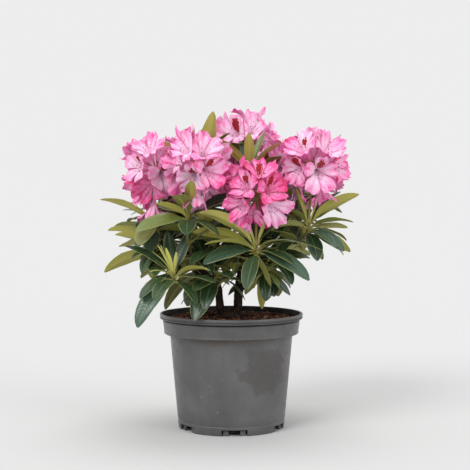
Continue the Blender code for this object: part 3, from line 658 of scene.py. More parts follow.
@dataclass(frozen=True)
class Skeleton:
    """The rule by which stems, boughs and twigs run, as in the solids."""

    stem_pull: float = 1 / 3
    stem_drift: float = 0.18
    bough_pull: float = 0.35
    bough_start_lift: float = 0.35
    bough_start_flatness: float = 0.25
    bough_end_lift: float = 0.45
    side_twig_pull: float = 0.2
    shoot_spread: float = 0.3
    whorl_length: float = 0.017

    def stem_curve(self, stem: Stem, count: int) -> Pair:
        """Follows a stem from the trunk's stub to its top.

        Args:
            stem: The stem.
            count: Number of points.

        Returns:
            Points and directions.
        """
        foot, top = np.array(stem.foot), np.array(stem.top)
        lift = np.array((0, 0, self.stem_pull * np.linalg.norm(top - foot)))
        drift = self.stem_drift * (top - foot) * (1, 1, 0)
        return bezier(foot, foot + lift, top - lift - drift, top, count)

    def bough_curve(self, bough: Bough, count: int) -> Pair:
        """Follows a bough from inside its stem, or from the stem's top, to its end.

        Args:
            bough: The bough.
            count: Number of points.

        Returns:
            Points and directions.
        """
        points, slopes = self.stem_curve(STEMS[bough.stem], 101)
        index = round(bough.share * 100)
        start, slope, end = points[index], slopes[index], np.array(bough.tip)
        straight = unit(end - start)
        pull = self.bough_pull * np.linalg.norm(end - start)
        if bough.share == 1:
            start = start + SEAT * slope
            return bezier(start, start + pull * slope, end - pull * straight, end, count)
        leave = unit(straight * (1, 1, self.bough_start_flatness) + (0, 0, self.bough_start_lift))
        arrive = unit(straight + (0, 0, self.bough_end_lift))
        return bezier(start, start + pull * leave, end - pull * arrive, end, count)

    def lean(self, shoot: Shoot) -> Array:
        """Direction of a twig's end: to the heart of its truss, or up and a little outwards.

        Args:
            shoot: The twig's end.

        Returns:
            The unit direction.
        """
        if shoot.heart:
            return unit(np.array(shoot.heart) - shoot.tip)
        outward = unit(np.array((shoot.tip[0], shoot.tip[1], 0)))
        return unit(self.shoot_spread * outward + (0, 0, 1))

    def twig_curve(self, start: Array, slope: Array, shoot: Shoot, pull: float) -> Pair:
        """Follows a twig that leaves along a slope and ends straight at its leaves.

        Args:
            start, slope: Where it leaves, and its direction there.
            shoot: Its end.
            pull: Share of its reach over which it keeps that direction.

        Returns:
            Points and directions.
        """
        lean = self.lean(shoot)
        collar = shoot.tip - self.whorl_length * lean
        reach = np.linalg.norm(collar - start)
        before = collar - self.bough_pull * reach * lean
        points, slopes = bezier(start, start + pull * reach * slope, before, collar, 5)
        return np.append(points, [shoot.tip], 0), np.append(slopes, [lean], 0)

    def twig_curves(self, name: str) -> list[Pair]:
        """Follows the twigs of a mass, the first from its bough's end, the next out of its side.

        Args:
            name: The mass.

        Returns:
            Points and directions of each twig.
        """
        points, slopes = self.bough_curve(BOUGHS[name], 6)
        start, slope, pull = points[-1] + SEAT * slopes[-1], slopes[-1], self.bough_pull
        lines = []
        for shoot in MASSES[name]:
            line = self.twig_curve(start, slope, shoot, pull)
            lines.append(line)
            start, pull = line[0][1], self.side_twig_pull
            slope = unit(line[1][1] + unit(np.array(MASSES[name][-1].tip) - start))
        return lines


@dataclass(frozen=True)
class Leaf:
    """One leaf: root and tip of its arch, bend and turn in radians, width, tone, and any set fold."""

    root: Array
    tip: Array
    bend: float
    turn: float
    width: float
    tone: LeafTone
    fold: float | None = None


@dataclass(frozen=True)
class LeafRule:
    """The rule by which a shoot bears its leaves, as in the solids.

    A leaf's aim is its azimuth, rise, reach and turn, in degrees and metres.
    """

    width_range: Span = (0.33, 0.38)
    bend_range: Span = (28.0, 62.0)
    reach_range: Span = (0.082, 0.104)
    turn_range: Span = (-20.0, 20.0)
    rises: tuple[float, ...] = (34, -22, 8, -38, 22, -10, -30, 14)
    swing: float = 8.0
    lift: float = 5.0
    tries: int = 9
    set_shift: Span = (7, 6)
    rule_shift: Span = (18, 16)
    lowest_aim: float = -80.0
    whorl: Span = (0.003, 0.015)
    whorl_rises: Span = (60, -50)

    def row(self, aim: tuple, shift: Span, rng: Rng) -> tuple:
        """Adds to a leaf's aim its bend, share of the width, and changes of azimuth and rise to try."""
        tries = np.concatenate([[(0, 0)], rng.normal(0, shift, (self.tries - 1, 2))])
        return aim, rng.uniform(*self.bend_range), rng.uniform(*self.width_range), tries

    def plan(self, shoot: Shoot, rng: Rng) -> list[tuple]:
        """Lists the leaves of a shoot, those given first, the others each in the widest gap.

        Args:
            shoot: The twig's end.
            rng: Seeded source, the same as for the solids.

        Returns:
            The leaves' rows.
        """
        outward = math.degrees(math.atan2(shoot.tip[1], shoot.tip[0]))
        azimuths = [aim[0] for aim in shoot.leaves]
        plan = [self.row(aim, self.set_shift, rng) for aim in shoot.leaves]
        for number in range(shoot.more):
            azimuth = outward + GOLDEN_TURN * len(azimuths) + rng.normal(0, self.swing)
            if shoot.leaves:
                around = np.sort(np.mod(azimuths, 360))
                gaps = np.diff(np.append(around, around[0] + 360))
                azimuth = around[gaps.argmax()] + gaps.max() / 2
            azimuths.append(azimuth)
            rise = self.rises[number % len(self.rises)] + rng.normal(0, self.lift)
            aim = (azimuth, rise, rng.uniform(*self.reach_range), rng.uniform(*self.turn_range))
            plan.append(self.row(aim, self.rule_shift, rng))
        return plan

    def ends(self, tip: Array, lean: Array, aim: tuple, shift: Array | Span = (0, 0)) -> Pair:
        """Root and tip of a leaf: the lower it points, the further down the whorl it grows.

        Args:
            tip, lean: The twig's end and its direction there.
            aim: The leaf's aim.
            shift: Change of azimuth and rise.

        Returns:
            Root and tip.
        """
        azimuth, rise, reach, _ = aim
        end = tip + reach * heading(azimuth + shift[0], max(rise + shift[1], self.lowest_aim))
        high, low = self.whorl_rises
        lowness = np.clip((high - rise) / (high - low), 0, 1)
        return tip - lean * (self.whorl[0] + lowness * (self.whorl[1] - self.whorl[0])), end


@dataclass(frozen=True)
class LeafShape:
    """Form of a leathery leaf: a stalk, then a long oval blade that arches, folds and rolls its edges."""

    stations: int = 13
    stalk_stations: tuple[float, ...] = (0, 0.045, 0.085)
    stalk_share: float = 0.11
    stalk_radius: float = 0.0013
    blade_thickness: float = 0.0006
    rib_thickness: float = 0.001
    steepest_start: float = 60.0
    fullness: float = 1.06
    turn_share: float = 1.35
    point: float = 0.56
    lean_in: float = 0.95
    fold: tuple[float, float, float] = (15, 13, 5)
    curl: Span = (33, 8)
    twist: float = 7
    wave: float = 0.045
    across: tuple[float, ...] = (-1, -0.95, -0.66, -0.34, -0.04, 0.04, 0.34, 0.66, 0.95, 1)

    def along(self) -> Array:
        """Stations along the leaf, closer together at the stalk and the tip.

        Returns:
            Shares of the length.
        """
        blade = np.linspace(0, 1, self.stations - 3)
        blade = self.stalk_share + (1 - self.stalk_share) * (blade - 0.045 * np.sin(2 * np.pi * blade))
        return np.concatenate([self.stalk_stations, blade])

    def half_widths(self, along: Array) -> Array:
        """Share of the half width at each share of the length: a sine to a power, blunt at the tip."""
        t = np.clip((along - self.stalk_share) / (1 - self.stalk_share), 0, 1)
        return np.sin(np.pi * np.clip(t, 0.004, 0.992) ** self.lean_in) ** self.point * ease(along, 0.08, 0.24)

    def points(self, leaves: list[Leaf], rng: Rng) -> Array:
        """Front surfaces of leaves.

        The midrib is an arc of a circle in an upright plane. Each half of the blade rises from it
        at the fold's angle and curls over to its edge along another arc, with a slight wave.

        Args:
            leaves: The leaves.
            rng: Seeded source of their small differences.

        Returns:
            Grids shaped (leaves, stations, across, 3).
        """
        count, root = len(leaves), gather(leaves, "root")
        span = gather(leaves, "tip") - root
        flat = np.linalg.norm(span[:, :2], axis=1)
        reach, rise = np.linalg.norm(span, axis=1), np.arctan2(span[:, 2], flat)
        ahead = np.stack([span[:, 0], span[:, 1], 0 * flat], axis=1) / flat[:, None]
        up = np.array((0, 0, 1))
        side = np.cross(up, ahead)
        bend = np.minimum(gather(leaves, "bend"), 2 * (math.radians(self.steepest_start) - rise))
        bend = np.where(np.abs(bend) < 1e-3, 1e-3, bend)
        first, radius = rise + bend / 2, (reach / 2 / np.sin(bend / 2))[:, None, None]
        u = self.along()
        angle = (first[:, None] - bend[:, None] * u)[..., None]
        along = radius * (np.sin(first)[:, None, None] - np.sin(angle))
        climb = radius * (np.cos(angle) - np.cos(first)[:, None, None])
        middle = root[:, None] + along * ahead[:, None] + climb * up
        normal = np.cos(angle) * up - np.sin(angle) * ahead[:, None]
        turn = self.turn_share * gather(leaves, "turn") * ahead[:, 0]
        twist = rng.normal(0, math.radians(self.twist), count)
        roll = (turn[:, None] + twist[:, None] * (u - 0.3))[..., None]
        over = np.cos(roll) * side[:, None] + np.sin(roll) * normal
        normal = np.cos(roll) * normal - np.sin(roll) * side[:, None]
        half = self.fullness * gather(leaves, "width")[:, None] / 2 * self.half_widths(u)
        half = np.maximum(half, self.stalk_radius)[..., None]
        v, blade = np.array(self.across), ease(u, 0.08, 0.2)
        least, rising, swing = self.fold
        fold = least + rising * ease(rise, -0.9, 0.6) + rng.normal(0, swing, count)
        fold = np.radians([leaf.fold or degrees for leaf, degrees in zip(leaves, fold, strict=True)])
        curl = np.radians(self.curl[0] + rng.normal(0, self.curl[1], count))
        fold = fold[:, None, None] * blade[:, None]
        curl = np.maximum(curl[:, None, None] * blade[:, None], 1e-3)
        edge = fold - curl * np.abs(v)
        outward = (np.sin(fold) - np.sin(edge)) / curl * np.sign(v)
        height = (np.cos(edge) - np.cos(fold)) / curl
        phase = rng.uniform(0, 1, (count, 1, 1))
        wave = np.sin(2 * np.pi * (2.3 * u[:, None] + phase + 0.3 * np.sign(v)))
        height = height + self.wave * wave * v**2 * blade[:, None]
        offset = over[:, :, None] * (half * outward)[..., None]
        return middle[:, :, None] + offset + normal[:, :, None] * (half * height)[..., None]

    def thickness(self) -> Array:
        """Thickness over the grid: thick along the stalk and the rib, thin at the edges.

        Returns:
            Thickness at each point.
        """
        u, v = self.along()[:, None], np.abs(np.array(self.across))
        stalk = 2 * self.stalk_radius * (1 - ease(u, 0.06, 0.22))
        rib = self.rib_thickness * np.exp(-((v / 0.12) ** 2)) * (1 - 0.75 * u)
        return np.maximum(self.blade_thickness * (1 - 0.5 * v**6) + rib, stalk)

    def zones(self) -> Pair:
        """Deals out the zones by how far a face lies from the midrib and along the leaf.

        Returns:
            Zone of each front and of each back face, as numbers of LeafZone.
        """
        u, v = self.along(), np.array(self.across)
        u, v = ((u[1:] + u[:-1]) / 2)[:, None], np.abs((v[1:] + v[:-1]) / 2)
        # The rim zone's pale colour is the leaf's margin, and partly painted highlight of the rolled edge.
        rim, rib = (v > 0.95) & (u > 0.12), (v < 0.04) & (u < 0.93)
        stalk = (u < self.stalk_share) & (v >= 0)
        front, back = np.full(rim.shape, LeafZone.BLADE.value), np.full(rim.shape, LeafZone.UNDER.value)
        front[rim], front[rib], back[rib] = LeafZone.EDGE.value, LeafZone.RIB.value, LeafZone.UNDER_RIB.value
        front[stalk] = back[stalk] = LeafZone.STALK.value
        return front.ravel(), back.ravel()


@dataclass(frozen=True)
class FlowerRule:
    """The rule by which a truss bears its flowers, as in the solids."""

    size_range: Span = (0.97, 1.06)
    most: int = 10
    tries: int = 5
    shift: float = 0.12
    spacing: float = 50.0
    dome_rises: Span = (80.0, -45.0)
    dome_steps: int = 60
    dome_swing: float = 30.0
    corner_turn: float = 19.0
    corner_radius: float = 0.0275
    corner_height: float = 0.052

    def plan(self, shoot: Shoot, rng: Rng) -> list[tuple]:
        """Lists the flowers of a truss, those given first, the others spread over a dome.

        Args:
            shoot: The twig's end with its heart and flowers.
            rng: Seeded source, the same as for the solids.

        Returns:
            Rows of direction, shifts to try and size.
        """
        aims = [heading(*flower) for flower in shoot.flowers]
        for number, rise in enumerate(np.linspace(*self.dome_rises, self.dome_steps)):
            aim = heading(GOLDEN_TURN * number + rng.uniform(0, self.dome_swing), rise)
            if all(aim @ other < math.cos(math.radians(self.spacing)) for other in aims):
                aims.append(aim)
        shifts = [rng.normal(0, self.shift, (self.tries - 1, 3)) for _ in aims]
        tries = [np.concatenate([np.zeros((1, 3)), shift]) for shift in shifts]
        return [(*row, rng.uniform(*self.size_range)) for row in zip(aims, tries, strict=True)]

    def corners(self, heart: Array, axis: Array, size: float) -> Array:
        """The ten corners of a flower's lobes in the solids, two for each lobe.

        Args:
            heart: Heart of the truss.
            axis: Direction of the flower.
            size: Its scale.

        Returns:
            Ten points.
        """
        upward, across = flower_frame(axis[None])
        turns = [side * self.corner_turn + 72 * np.arange(5) for side in (-1, 1)]
        turns = np.radians(np.concatenate(turns))[:, None]
        spread = np.sin(turns) * across + np.cos(turns) * upward
        return heart + size * (self.corner_height * axis + self.corner_radius * spread)


class Room:
    """The room that solids, leaves and flowers have taken."""

    def __init__(self, nodes: dict[str, Object]) -> None:
        """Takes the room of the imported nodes.

        Args:
            nodes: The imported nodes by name.
        """
        self.trees: list[tuple[str, BVHTree]] = []
        for name, node in nodes.items():
            points = [vertex.co for vertex in node.data.vertices]
            faces = [tuple(face.vertices) for face in node.data.polygons]
            self.take(name, BVHTree.FromPolygons(points, faces))

    @staticmethod
    def tree(points: Array) -> BVHTree:
        """Makes a tree of the quads of one grid of points, shaped (rows, columns, 3)."""
        faces = grid_faces(*points.shape[:2])
        return BVHTree.FromPolygons(points.reshape(-1, 3).tolist(), faces.tolist())

    def free(self, tree: BVHTree, skip: str = "") -> bool:
        """Tells whether a tree meets nothing taken, apart from what the owner to skip has."""
        return not any(tree.overlap(other) for owner, other in self.trees if owner != skip)

    def take(self, owner: str, tree: BVHTree) -> None:
        """Marks a tree's room as taken by this owner."""
        self.trees.append((owner, tree))


@dataclass(frozen=True)
class Flower:
    """One flower: heart of its truss, axis, scale, flare, depth of colour, extra stalk, blotch's scale."""

    heart: Place
    axis: Array
    size: float
    flare: float = 0.0
    depth: float = 0.0
    stalk: float = 0.0
    blotch: float = 1.0

    @property
    def foot(self) -> Array:
        """The point that the flower is measured from: the heart, or further along its axis."""
        return np.array(self.heart) + self.stalk * self.axis


@dataclass(frozen=True)
class Corolla:
    """Form of one flower: a funnel that opens to five broad, ruffled lobes, as a closed thin wall.

    Along a lobe the wall starts at the throat and leans out by angles above the level that fall
    from foot to rim. Between lobes the rim is cut in by a rounded sinus. Each lobe has its own
    curl and twist, and its one edge laps over the next lobe.
    """

    foot: Span = (0.0016, 0.0165)
    length: float = 0.0475
    lean_shares: tuple[float, ...] = (0.0, 0.3, 0.5, 0.65, 0.8, 1.0)
    lean_degrees: tuple[float, ...] = (82.0, 68.0, 54.0, 40.0, 26.0, 8.0)
    per_lobe: int = 14
    rows: int = 12
    sinus_reach: float = 0.43
    curl: Span = (5.0, 25.0)
    thickness: float = 0.0004
    ruffle: float = 0.002
    keel: float = 0.0008
    lap: float = 0.0022
    limb: Span = (0.42, 1.0)
    near_cosine: float = 0.2
    gap: float = 0.0006
    push: float = 0.3

    @property
    def columns(self) -> int:
        """Columns of points round the whole flower."""
        return 5 * self.per_lobe

    def turns(self) -> Pair:
        """Turns of the columns, five lobes to the circle.

        Returns:
            Angle of each from the topmost lobe, and its place in its lobe from -1 to 1.
        """
        number = np.arange(self.columns)
        place = 2 * (number % self.per_lobe) / self.per_lobe - 1
        return 2 * np.pi * (np.floor(number / self.per_lobe) + 0.5 * place) / 5, place

    def reaches(self) -> Array:
        """Share of the way to the rim at each row, closer together at the rim."""
        return 1 - (1 - np.linspace(0, 1, self.rows)) ** 1.15

    def wall(self, flowers: list[Flower], rng: Rng) -> tuple[Array, Array, Array]:
        """Inner surfaces of flowers about their own axes.

        The lean's cosine and sine, summed row by row, give radius and height. Sines of three
        lengths ruffle the rim, and each lobe has a keel along its middle.

        Args:
            flowers: The flowers.
            rng: Seeded source of their small differences.

        Returns:
            Radius, height and turn of each point, each shaped (flowers, rows, columns).
        """
        count = len(flowers)
        angle, place = self.turns()
        lobe, side = np.arange(self.columns) // self.per_lobe, np.abs(place)
        rim = self.sinus_reach + (1 - self.sinus_reach) * (1 - side**2.3) ** 0.5
        rim = rim - 0.03 * np.exp(-((place / 0.15) ** 2))
        varied = 1 + rng.normal(0, 0.05, (count, 5))[:, lobe] * (1 - side**2)
        share = self.reaches()[:, None] * (rim * varied)[:, None]
        curl = rng.normal(*self.curl, (count, 5))[:, lobe] + rng.normal(0, 6, (count, 1))
        curl = curl + np.degrees(gather(flowers, "flare"))[:, None]
        middle = (share[:, 1:] + share[:, :-1]) / 2
        lean = np.interp(middle, self.lean_shares, self.lean_degrees)
        lean = np.radians(lean - curl[:, None] * ease(middle, *self.limb))
        step = self.length * np.diff(share, axis=1)
        start = np.zeros((count, 1, self.columns))
        radius, height = (
            foot + np.concatenate([start, np.cumsum(part * step, axis=1)], axis=1)
            for foot, part in zip(self.foot, (np.cos(lean), np.sin(lean)), strict=True)
        )
        out, drift, ruffled = ease(share, *self.limb), 0.5 * share, ease(share, 0.55, 1.0) ** 1.3
        phase = rng.uniform(0, 1, (count, 5, 4))[:, lobe][:, None]
        waves = np.sin(2 * np.pi * (place * 0.9 + phase[..., 0] + drift))
        waves = waves + 0.8 * np.sin(2 * np.pi * (place * 1.7 + phase[..., 1] - 2 * drift))
        waves = waves + 0.45 * np.sin(2 * np.pi * (place * 3.1 + phase[..., 2] + drift))
        swing = np.sin(2 * np.pi * (place * 1.2 + phase[..., 3]))
        radius = radius + 0.5 * self.ruffle * swing * ruffled
        height = height + self.ruffle * waves * ruffled
        height = height - self.keel * np.exp(-((place / 0.2) ** 2)) * ease(share, 0.2, 0.5)
        height = height + self.lap * place * (1 - 0.6 * side**4) * out
        twist = rng.normal(0, 0.06, (count, 5))[:, lobe][:, None]
        return radius, height, angle + (twist + 0.1 * place) * out

    def points(self, flowers: list[Flower], rng: Rng) -> Array:
        """Inner surfaces of flowers: from the foot, the height runs along the axis, the radius across.

        Args:
            flowers: The flowers.
            rng: Seeded source of their small differences.

        Returns:
            Grids shaped (flowers, rows, columns, 3).
        """
        radius, height, turn = self.wall(flowers, rng)
        axes = gather(flowers, "axis")
        upward, across = flower_frame(axes)
        spread = np.sin(turn)[..., None] * across[:, None, None]
        spread = spread + np.cos(turn)[..., None] * upward[:, None, None]
        size = gather(flowers, "size")[:, None, None, None]
        local = size * (height[..., None] * axes[:, None, None] + radius[..., None] * spread)
        return local + gather(flowers, "foot")[:, None, None]

    def crowd(self, points: Array, flowers: list[Flower]) -> Array:
        """Keeps each flower of a truss on its own side of the plane halfway to each neighbour.

        Args:
            points: Grids of one truss's flowers.
            flowers: Those flowers.

        Returns:
            The pressed grids.
        """
        heart, axes = np.array(flowers[0].heart), gather(flowers, "axis")
        local = points - heart
        for number, axis in enumerate(axes):
            near = [other for other in range(len(axes)) if other != number and axis @ axes[other] > self.near_cosine]
            for other in near:
                away = unit(axes[other] - axis)
                past = local[number] @ away + self.gap
                past = np.where(past > 0, past, 0)[..., None]
                local[number] += past * (self.push * axis - away)
        return local + heart


@dataclass
class Crown:
    """Grows the crown by the solids' rule and carries it on to finer twigs and more leaves.

    It keeps leaves and flowers by mass. A twig is kept as its line and the share of its radius.
    """

    nodes: dict[str, Object]
    skeleton: Skeleton = Skeleton()
    leaf_rule: LeafRule = LeafRule()
    leaf_shape: LeafShape = LeafShape()
    flower_rule: FlowerRule = FlowerRule()
    match: float = 0.0006
    found_corners: int = 3
    set_width: float = 0.36
    young_reach: float = 0.058
    outer_radius: float = 0.075
    outer_weights: tuple[float, ...] = (0.34, 0.36, 0.24, 0.06)
    # Tones of sprays near the middle, mostly DEEP: painted shade inside the crown.
    inner_shade_weights: tuple[float, ...] = (0.68, 0.24, 0.06, 0.02)
    lowest_leaf: float = 0.19
    more_leaves: int = 5
    more_tries: int = 10
    more_reach: Span = (0.06, 0.084)
    more_rises: tuple[float, ...] = (40, -12, -46, 12, -30)
    more_lift: float = 12
    inner_tries: int = 60
    inner_reach: Span = (0.045, 0.068)
    inner_rises: Span = (-40, 45)
    inner_radius: float = 0.12
    inner_band: Span = (0.225, 0.35)
    side_tries: int = 12
    side_reach: Span = (0.052, 0.076)
    side_leaves: int = 6
    side_leaf_tries: int = 4
    side_length: float = 0.048
    side_radius: float = 0.55
    side_swing: float = 14
    more_flowers: int = 17
    flower_tries: int = 240
    flower_rises: Span = (-52, 88)
    more_spacing: float = 32.0
    spacing_drop: float = 14
    more_size: Span = (0.78, 0.94)
    more_depth: float = 0.04
    look_cosine: float = 0.93
    barred_cosine: float = 0.87
    back_cosine: float = -0.72

    def __post_init__(self) -> None:
        """Starts with nothing grown, in the room that all solids but the leaves leave."""
        self.room = Room({name: node for name, node in self.nodes.items() if not name.startswith("leaves_")})
        self.leaves: dict[str, list[Leaf]] = {name: [] for name in MASSES}
        self.flowers: dict[str, list[Flower]] = {name: [] for name in MASSES}
        self.twigs: list[tuple[Array, float]] = []
        self.missed = 0

    def grow(self) -> None:
        """Repeats the solids' growth, keeps what they hold, and then fills in."""
        for index, (name, shoots) in enumerate(MASSES.items()):
            packed = self.packed_points(f"leaves_{name}")
            self.twigs += [(points, 1.0) for points, _ in self.skeleton.twig_curves(name)]
            for number, shoot in enumerate(shoots):
                for row in self.leaf_rule.plan(shoot, seeded(index, number)):
                    self.keep_leaf(name, shoot, row, packed)
                if shoot.heart:
                    self.keep_flowers(name, shoot, seeded(index, number, 1))
        for name, leaves in self.leaves.items():
            self.leaves[name] = [leaf for leaf in leaves if leaf.width > 0] + self.set_leaves(name)
            self.take_leaves(self.leaves[name])
        self.fill()

    def packed_points(self, name: str) -> KDTree:
        """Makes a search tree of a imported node's points.

        Args:
            name: The node.

        Returns:
            The tree.
        """
        vertices = self.nodes[name].data.vertices
        tree = KDTree(len(vertices))
        for number, vertex in enumerate(vertices):
            tree.insert(vertex.co, number)
        tree.balance()
        return tree

    def set_leaves(self, name: str) -> list[Leaf]:
        """Makes the young leaves that are listed for a mass's shoots.

        Args:
            name: The mass.

        Returns:
            The leaves.
        """
        made = []
        for index, azimuth, rise, reach, bend, share, tone in SET_LEAVES.get(name, ()):
            shoot = MASSES[name][index]
            ends = self.leaf_rule.ends(np.array(shoot.tip), self.skeleton.lean(shoot), (azimuth, rise, reach, 0))
            made.append(Leaf(*ends, math.radians(bend), 0.0, share * self.set_width * reach, tone))
        return made

    def take_leaves(self, leaves: list[Leaf]) -> None:
        """Marks the room of leaves as taken, by a coarser grid of each.

        Args:
            leaves: The leaves.
        """
        if leaves:
            for points in self.leaf_shape.points(leaves, np.random.default_rng(SEED)):
                self.room.take("leaf", Room.tree(points[4::2, ::3]))

    def keep_leaf(self, name: str, shoot: Shoot, row: tuple, packed: KDTree) -> None:
        """Keeps a planned leaf at the place where the solids hold its tip.

        Args:
            name: The mass.
            shoot: The twig's end.
            row: The leaf's row of the plan.
            packed: The mass's points.
        """
        aim, bend, width, tries = row
        for shift in tries:
            root, tip = self.leaf_rule.ends(np.array(shoot.tip), self.skeleton.lean(shoot), aim, shift)
            if packed.find(Vector(tip))[2] < self.match:
                look = LEAF_LOOKS.get(name, {}).get(len(self.leaves[name]), Look())
                tone = look.tone or self.leaf_tone(shoot.tip, aim)
                bend, turn = math.radians(bend), math.radians(aim[3] + look.turn)
                leaf = Leaf(root, tip, bend, turn, look.width * width * aim[2], tone, look.fold)
                self.leaves[name].append(leaf)
                return
        self.missed += 1

    def leaf_tone(self, spray: Place | Array, aim: tuple) -> LeafTone:
        """Deals a leaf its tone: the spray's own, darker near the crown's middle as painted shade, with short upright
        leaves young.

        Args:
            spray: Place of the spray.
            aim: The leaf's aim.

        Returns:
            The tone.
        """
        if aim[2] < self.young_reach and aim[1] > 2 and tuple(spray) in YOUNG_SHOOTS:
            return YOUNG
        outer = math.hypot(spray[0], spray[1]) > self.outer_radius
        rng = seeded(7, round(1e4 * (1 + spray[0])), round(10 * (360 + aim[0])))
        return LeafTone(int(rng.choice(4, p=self.outer_weights if outer else self.inner_shade_weights)))

    def keep_flowers(self, name: str, shoot: Shoot, rng: Rng) -> None:
        """Keeps the planned flowers that the solids hold.

        Args:
            name: The mass.
            shoot: The twig's end.
            rng: Seeded source, the same as for the solids.
        """
        held, heart = self.packed_points(f"truss_{name}"), np.array(shoot.heart)
        for aim, tries, size in self.flower_rule.plan(shoot, rng):
            if len(self.flowers[name]) == self.flower_rule.most:
                return
            for shift in tries:
                axis = unit(aim + shift)
                corners = self.flower_rule.corners(heart, axis, size)
                found = sum(held.find(Vector(corner))[2] < self.match for corner in corners)
                if found >= self.found_corners:
                    self.add_flower(name, shoot, axis, size)
                    break

    def add_flower(self, name: str, shoot: Shoot, axis: Array, size: float) -> None:
        """Adds a flower with its own opening and depth of colour, and the look that its place has.

        Args:
            name: The mass.
            shoot: The twig's end.
            axis: Direction of the flower.
            size: Its scale.
        """
        flowers = self.flowers[name]
        rng = seeded(9, round(1e4 * (1 + shoot.tip[0])), len(flowers))
        depth = TRUSS_DEPTHS.get(name, 0.0) + rng.normal(0, 0.08)
        flare, blotch = rng.normal(0, 0.08), rng.uniform(0.8, 1.05)
        for azimuth, rise, deeper, wider, scale, share in FLOWER_LOOKS.get(name, ()):
            if heading(azimuth, rise) @ axis > self.look_cosine:
                depth, flare, blotch, size = depth + deeper, flare + wider, scale, size * share
        flowers.append(Flower(shoot.heart, axis, size, flare, depth, 0.0, blotch))

    def fill(self) -> None:
        """Adds flowers, side twigs and leaves where the solids leave room, and keeps some places free."""
        planned = {name: len(leaves) for name, leaves in self.leaves.items()}
        for index, (name, shoots) in enumerate(MASSES.items()):
            rng = seeded(index, 5)
            for shoot in shoots:
                if shoot.heart:
                    self.fill_truss(name, shoot, rng)
        for index, (name, shoots) in enumerate(MASSES.items()):
            rng = seeded(index, 6)
            for shoot, (points, slopes) in zip(shoots, self.skeleton.twig_curves(name), strict=True):
                self.fill_whorl(name, shoot, rng)
                self.side_twig(name, points[2], slopes[2], rng)
        self.fill_inside()
        for name, leaves in self.leaves.items():
            self.leaves[name] = [
                leaf
                for number, leaf in enumerate(leaves)
                if number < planned[name]
                or all(np.linalg.norm(leaf.tip - place) > reach for place, reach in NO_LEAVES)
            ]

    def fill_inside(self) -> None:
        """Adds dark leaves along the twigs inside the crown, where light would show through; their dark tones are
        painted shade.
        """
        rng = seeded(7)
        low, high = self.inner_band
        for name in MASSES:
            curves = self.skeleton.twig_curves(name)
            for number in range(self.inner_tries):
                points, slopes = curves[number % len(curves)]
                place = rng.integers(len(points) // 3, len(points) - 1)
                aim = (rng.uniform(0, 360), rng.uniform(*self.inner_rises), rng.uniform(*self.inner_reach), 0.0)
                tip = self.leaf_rule.ends(points[place], slopes[place], aim)[1]
                if np.hypot(tip[0], tip[1]) < self.inner_radius and low < tip[2] < high:
                    self.try_leaf(name, points[place], slopes[place], aim, rng, (0.0, 0.0, 0.0))

    def fill_truss(self, name: str, shoot: Shoot, rng: Rng) -> None:
        """Adds the listed flowers, and more in the gaps of a truss's dome.

        Args:
            name: The mass.
            shoot: The twig's end.
            rng: Seeded source.
        """
        flowers = self.flowers[name]
        for azimuth, rise, size, stalk, flare, blotch in MORE_FLOWERS.get(name, ()):
            depth = TRUSS_DEPTHS.get(name, 0.0) - self.more_depth
            flowers.append(Flower(shoot.heart, heading(azimuth, rise), size, flare, depth, stalk, blotch))
        barred = [heading(*aim) for aim in NO_FLOWERS.get(name, ())]
        for number in range(self.flower_tries):
            if len(flowers) >= self.more_flowers:
                return
            aim = heading(GOLDEN_TURN * number + rng.uniform(0, 30), rng.uniform(*self.flower_rises))
            spacing = self.more_spacing + self.spacing_drop * (1 - number / self.flower_tries)
            clear = all(aim @ flower.axis < math.cos(math.radians(spacing)) for flower in flowers)
            clear = clear and all(aim @ other < self.barred_cosine for other in barred)
            if clear and aim @ self.skeleton.lean(shoot) > self.back_cosine:
                self.add_flower(name, shoot, aim, rng.uniform(*self.more_size))

    def fill_whorl(self, name: str, shoot: Shoot, rng: Rng) -> None:
        """Adds shorter leaves between the leaves of a whorl, where they are clear of everything.

        Args:
            name: The mass.
            shoot: The twig's end.
            rng: Seeded source.
        """
        if shoot.tip in BARE_SHOOTS:
            return
        tip, lean = np.array(shoot.tip), self.skeleton.lean(shoot)
        for rise in self.more_rises[: self.more_leaves]:
            for _ in range(self.more_tries):
                azimuth, lifted = rng.uniform(0, 360), rise + rng.normal(0, self.more_lift)
                if self.try_leaf(name, tip, lean, (azimuth, lifted, rng.uniform(*self.more_reach), 0.0), rng):
                    break

    def side_twig(self, name: str, start: Array, slope: Array, rng: Rng) -> None:
        """Grows a finer twig out of a twig's middle, with a whorl of small leaves at its end.

        Args:
            name: The mass.
            start, slope: The middle of the bearing twig, and its direction there.
            rng: Seeded source.
        """
        for _ in range(self.side_tries):
            side = unit(np.cross(slope, rng.normal(0, 1, 3)))
            aim = unit(0.55 * slope + side + (0, 0, 0.35))
            end = start + rng.uniform(0.7, 1.1) * self.side_length * aim
            line, _ = bezier(start, start + 0.4 * (end - start) + 0.004 * slope, end - 0.012 * aim, end, 7)
            wand = Room.tree(np.stack([line[2:] - 0.002 * side, line[2:] + 0.002 * side], axis=1))
            if self.room.free(wand, f"bough_{name}"):
                break
        else:
            return
        self.room.take("twig", wand)
        self.twigs.append((line, self.side_radius))
        lean, first = unit(aim + (0, 0, 0.5)), rng.uniform(0, 360)
        for number in range(self.side_leaves):
            for _ in range(self.side_leaf_tries):
                azimuth = first + GOLDEN_TURN * number + rng.normal(0, self.side_swing)
                rise = self.leaf_rule.rises[number] + rng.normal(0, self.side_swing)
                if self.try_leaf(name, end, lean, (azimuth, rise, rng.uniform(*self.side_reach), 0.0), rng):
                    break

